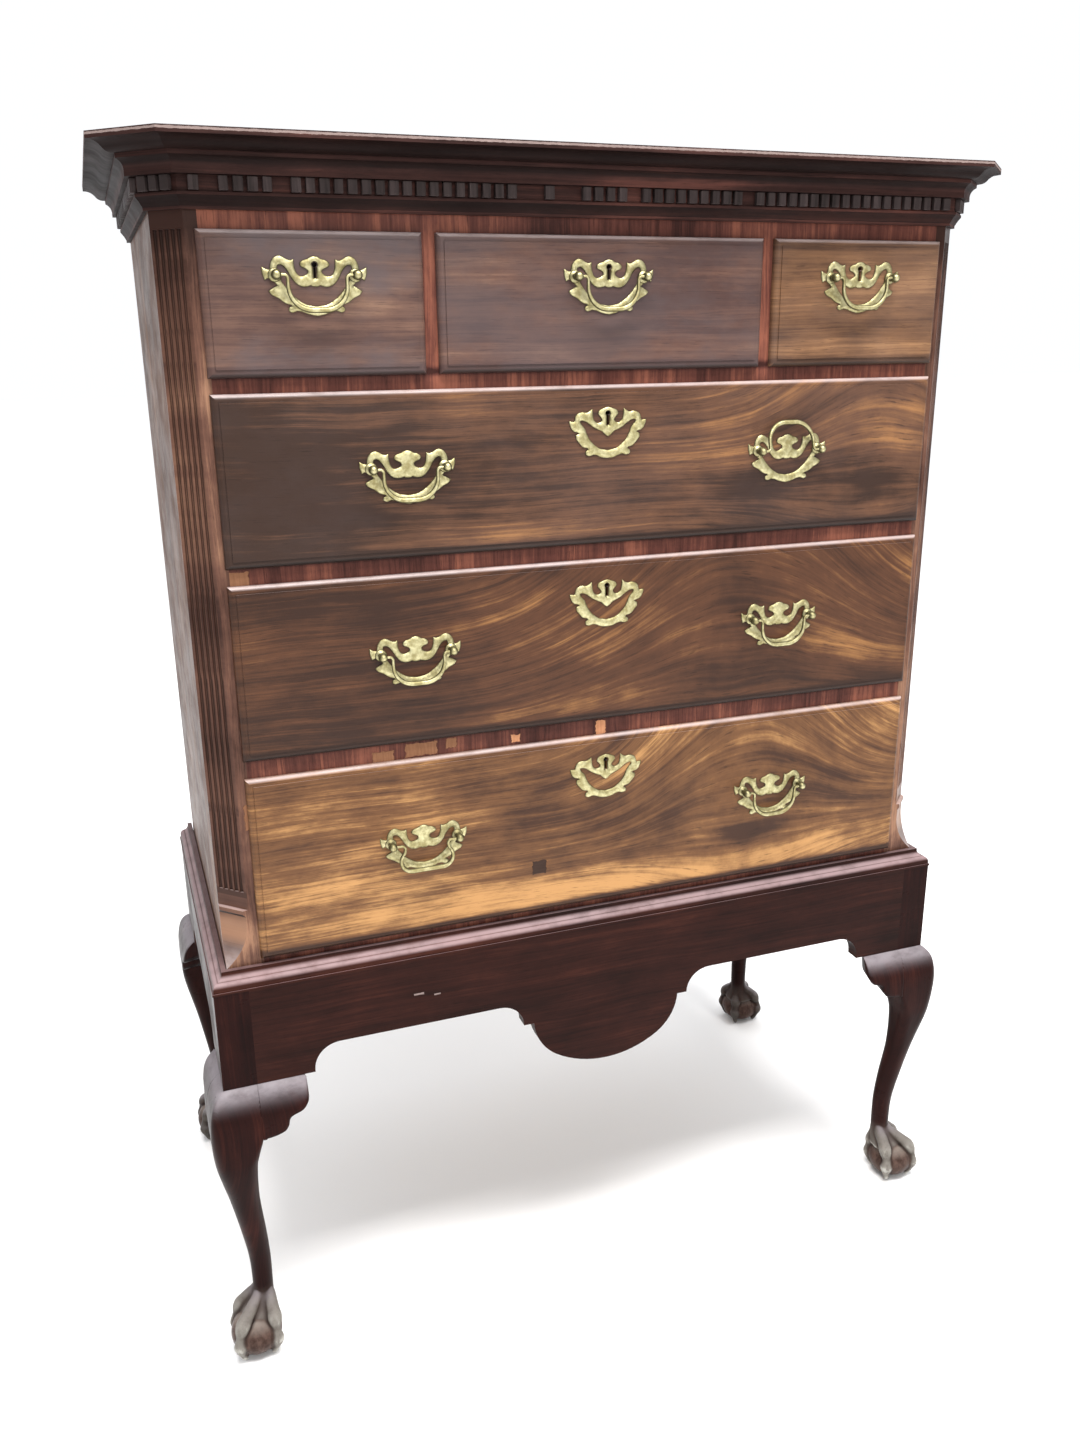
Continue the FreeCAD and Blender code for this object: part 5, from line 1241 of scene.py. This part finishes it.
for name, (x_sign, y_sign, turn) in CORNERS.items():
    wall = STAND_FRONT if y_sign < 0 else STAND_BACK
    ball_x, ball_y = x_sign * (STAND_HALF - BALL_INSET), wall - y_sign * BALL_INSET
    mesh = pattern.data.copy()
    mesh.transform(Matrix.Translation((ball_x, ball_y, 0)) @ Matrix.Rotation(math.radians(turn), 4, "Z"))
    low_x = min(x_sign * STAND_HALF, x_sign * (STAND_HALF - STILE))
    low_y = min(wall, wall - y_sign * STILE)
    corners = [(low_x + x, low_y + y, z) for x, y, z in stile_box]
    add_stile(mesh, new_mesh(f"{name}_stile", corners, stile_faces, False))
    mesh.transform(Matrix.Scale(MM, 4))
    piece = new_object(f"{name}_carved", mesh)
    set_finish(piece, "carcase", "mahogany_stand", [name], leg_finish, stand_finish)
bpy.data.objects.remove(pattern)

# %% [markdown]
# A knee bracket is a scrap of the same mahogany, fretted to an ogee and worked to the knee's curve, so
# its face follows the knee and its free edge is a little rounded.  It is a relief again, only thick, and
# cut back behind so that the edge looks light.

# %% Knee brackets
BRACKET_START = (-0.8, 0)
BRACKET_RUNS = [
    [(63, 0)],
    [(63, -24)],
    [(61, -32), (54, -41), (41, -46), (36, -50), (33.6, -59), (29, -66), (20, -70), (9, -72), (-0.8, -72)],
    [(-0.8, 0)],
]
BRACKET_THICK = 12.0
BRACKET_STEP = 2.0
BRACKET_PITCH = 3.0
BRACKET_DEPTH = 72


def bracket_front(x, z, distance):
    """The knee's own swell, a little rounded along the free edge."""
    free = np.where((x < 4) | (z > -4), 9.0, distance)
    return knee_at(LEG_HEIGHT + z) - 2.2 * np.clip(1 - free / 3.2, 0, 1) ** 2


edge_line = joined_runs(BRACKET_START, BRACKET_RUNS, BRACKET_STEP)[:-1]
bracket_points, bracket_faces = relief([np.array(edge_line)[::-1]], BRACKET_PITCH, bracket_front,
                                       BRACKET_THICK, rings=(0.8, 1.8))
behind = bracket_points[:, 1] > 0
bracket_points[behind, 0] *= 0.92 + bracket_points[behind, 2] / BRACKET_DEPTH * 0.14
inner, near, far = STAND_HALF - STILE, STAND_FRONT + STILE, STAND_BACK - STILE
brackets = Heap()
# Each bracket's hand, the corner of the leg that it starts from, and the way it is turned.
for hand, x, y, turn in ((1, -inner, STAND_FRONT, 0), (-1, inner, STAND_FRONT, 0),
                         (-1, -STAND_HALF, near, -90), (1, -STAND_HALF, far, -90),
                         (1, STAND_HALF, near, 90), (-1, STAND_HALF, far, 90)):
    cosine, sine = math.cos(math.radians(turn)), math.sin(math.radians(turn))
    points = [(x + hand * px * cosine - py * sine, y + hand * px * sine + py * cosine, LEG_HEIGHT + pz)
              for px, py, pz in bracket_points]
    brackets.add(points, [face[::hand] for face in bracket_faces])
set_finish(brackets.piece("knee_brackets_carved"), "carcase", "mahogany_stand", ["knee_brackets"],
           leg_finish)

# %% [markdown]
# Light makes old polish readable.  A broad lamp overhead draws a pale line along each moulding and
# leaves the upright fronts deep, and the room's own light is bright behind the chest and above it but
# dimmer in front, so that the polish has something dark to mirror.  The world's nodes give that: their
# brightness depends on the way a ray goes, never on where the camera stands.

# %% Floor and world
FLOOR_HALF = 30.0
corners = [(x * FLOOR_HALF, y * FLOOR_HALF, 0.0) for x, y in ((-1, -1), (1, -1), (1, 1), (-1, 1))]
floor = new_object("floor", new_mesh("floor", corners, [(0, 1, 2, 3)], False))
pale = Graph("pale_floor")
floor.data.materials.append(pale.finish(Base_Color=(0.9, 0.9, 0.9, 1.0), Roughness=0.95))

world = bpy.data.worlds.new("studio")
bpy.context.scene.world = world
world.use_nodes = True
sky = Graph(tree=world.node_tree)
away, up = sky.coordinates("Generated")[1:]
strength = away.ramp(0.1, 0.6) * 0.65 + up.ramp(0.45, 0.9) * 1.2 + 0.38
background = sky.node("ShaderNodeBackground", {"Color": (0.97, 0.98, 1.0, 1.0), "Strength": strength})
add_node(sky.tree, "ShaderNodeOutputWorld", {"Surface": background}, {})
bpy.context.scene.view_settings.view_transform = "Standard"

# %% Lamps


def area_light(name, place, target, size, power, colour):
    data = bpy.data.lights.new(name, "AREA")
    data.shape = "RECTANGLE"
    data.size, data.size_y = size
    data.energy = power
    data.color = colour
    lamp = new_object(name, data)
    lamp.location = place
    lamp.rotation_euler = (Vector(target) - Vector(place)).to_track_quat("-Z", "Y").to_euler()


area_light("overhead", place=(0.0, -1.2, 3.9), target=(0.0, -0.5, 0.6), size=(2.6, 1.2), power=260.0,
           colour=(1.0, 0.985, 0.97))
area_light("front", place=(0.4, -4.2, 2.6), target=(0.0, 0.0, 0.9), size=(2.0, 1.2), power=40.0,
           colour=(1.0, 0.97, 0.93))
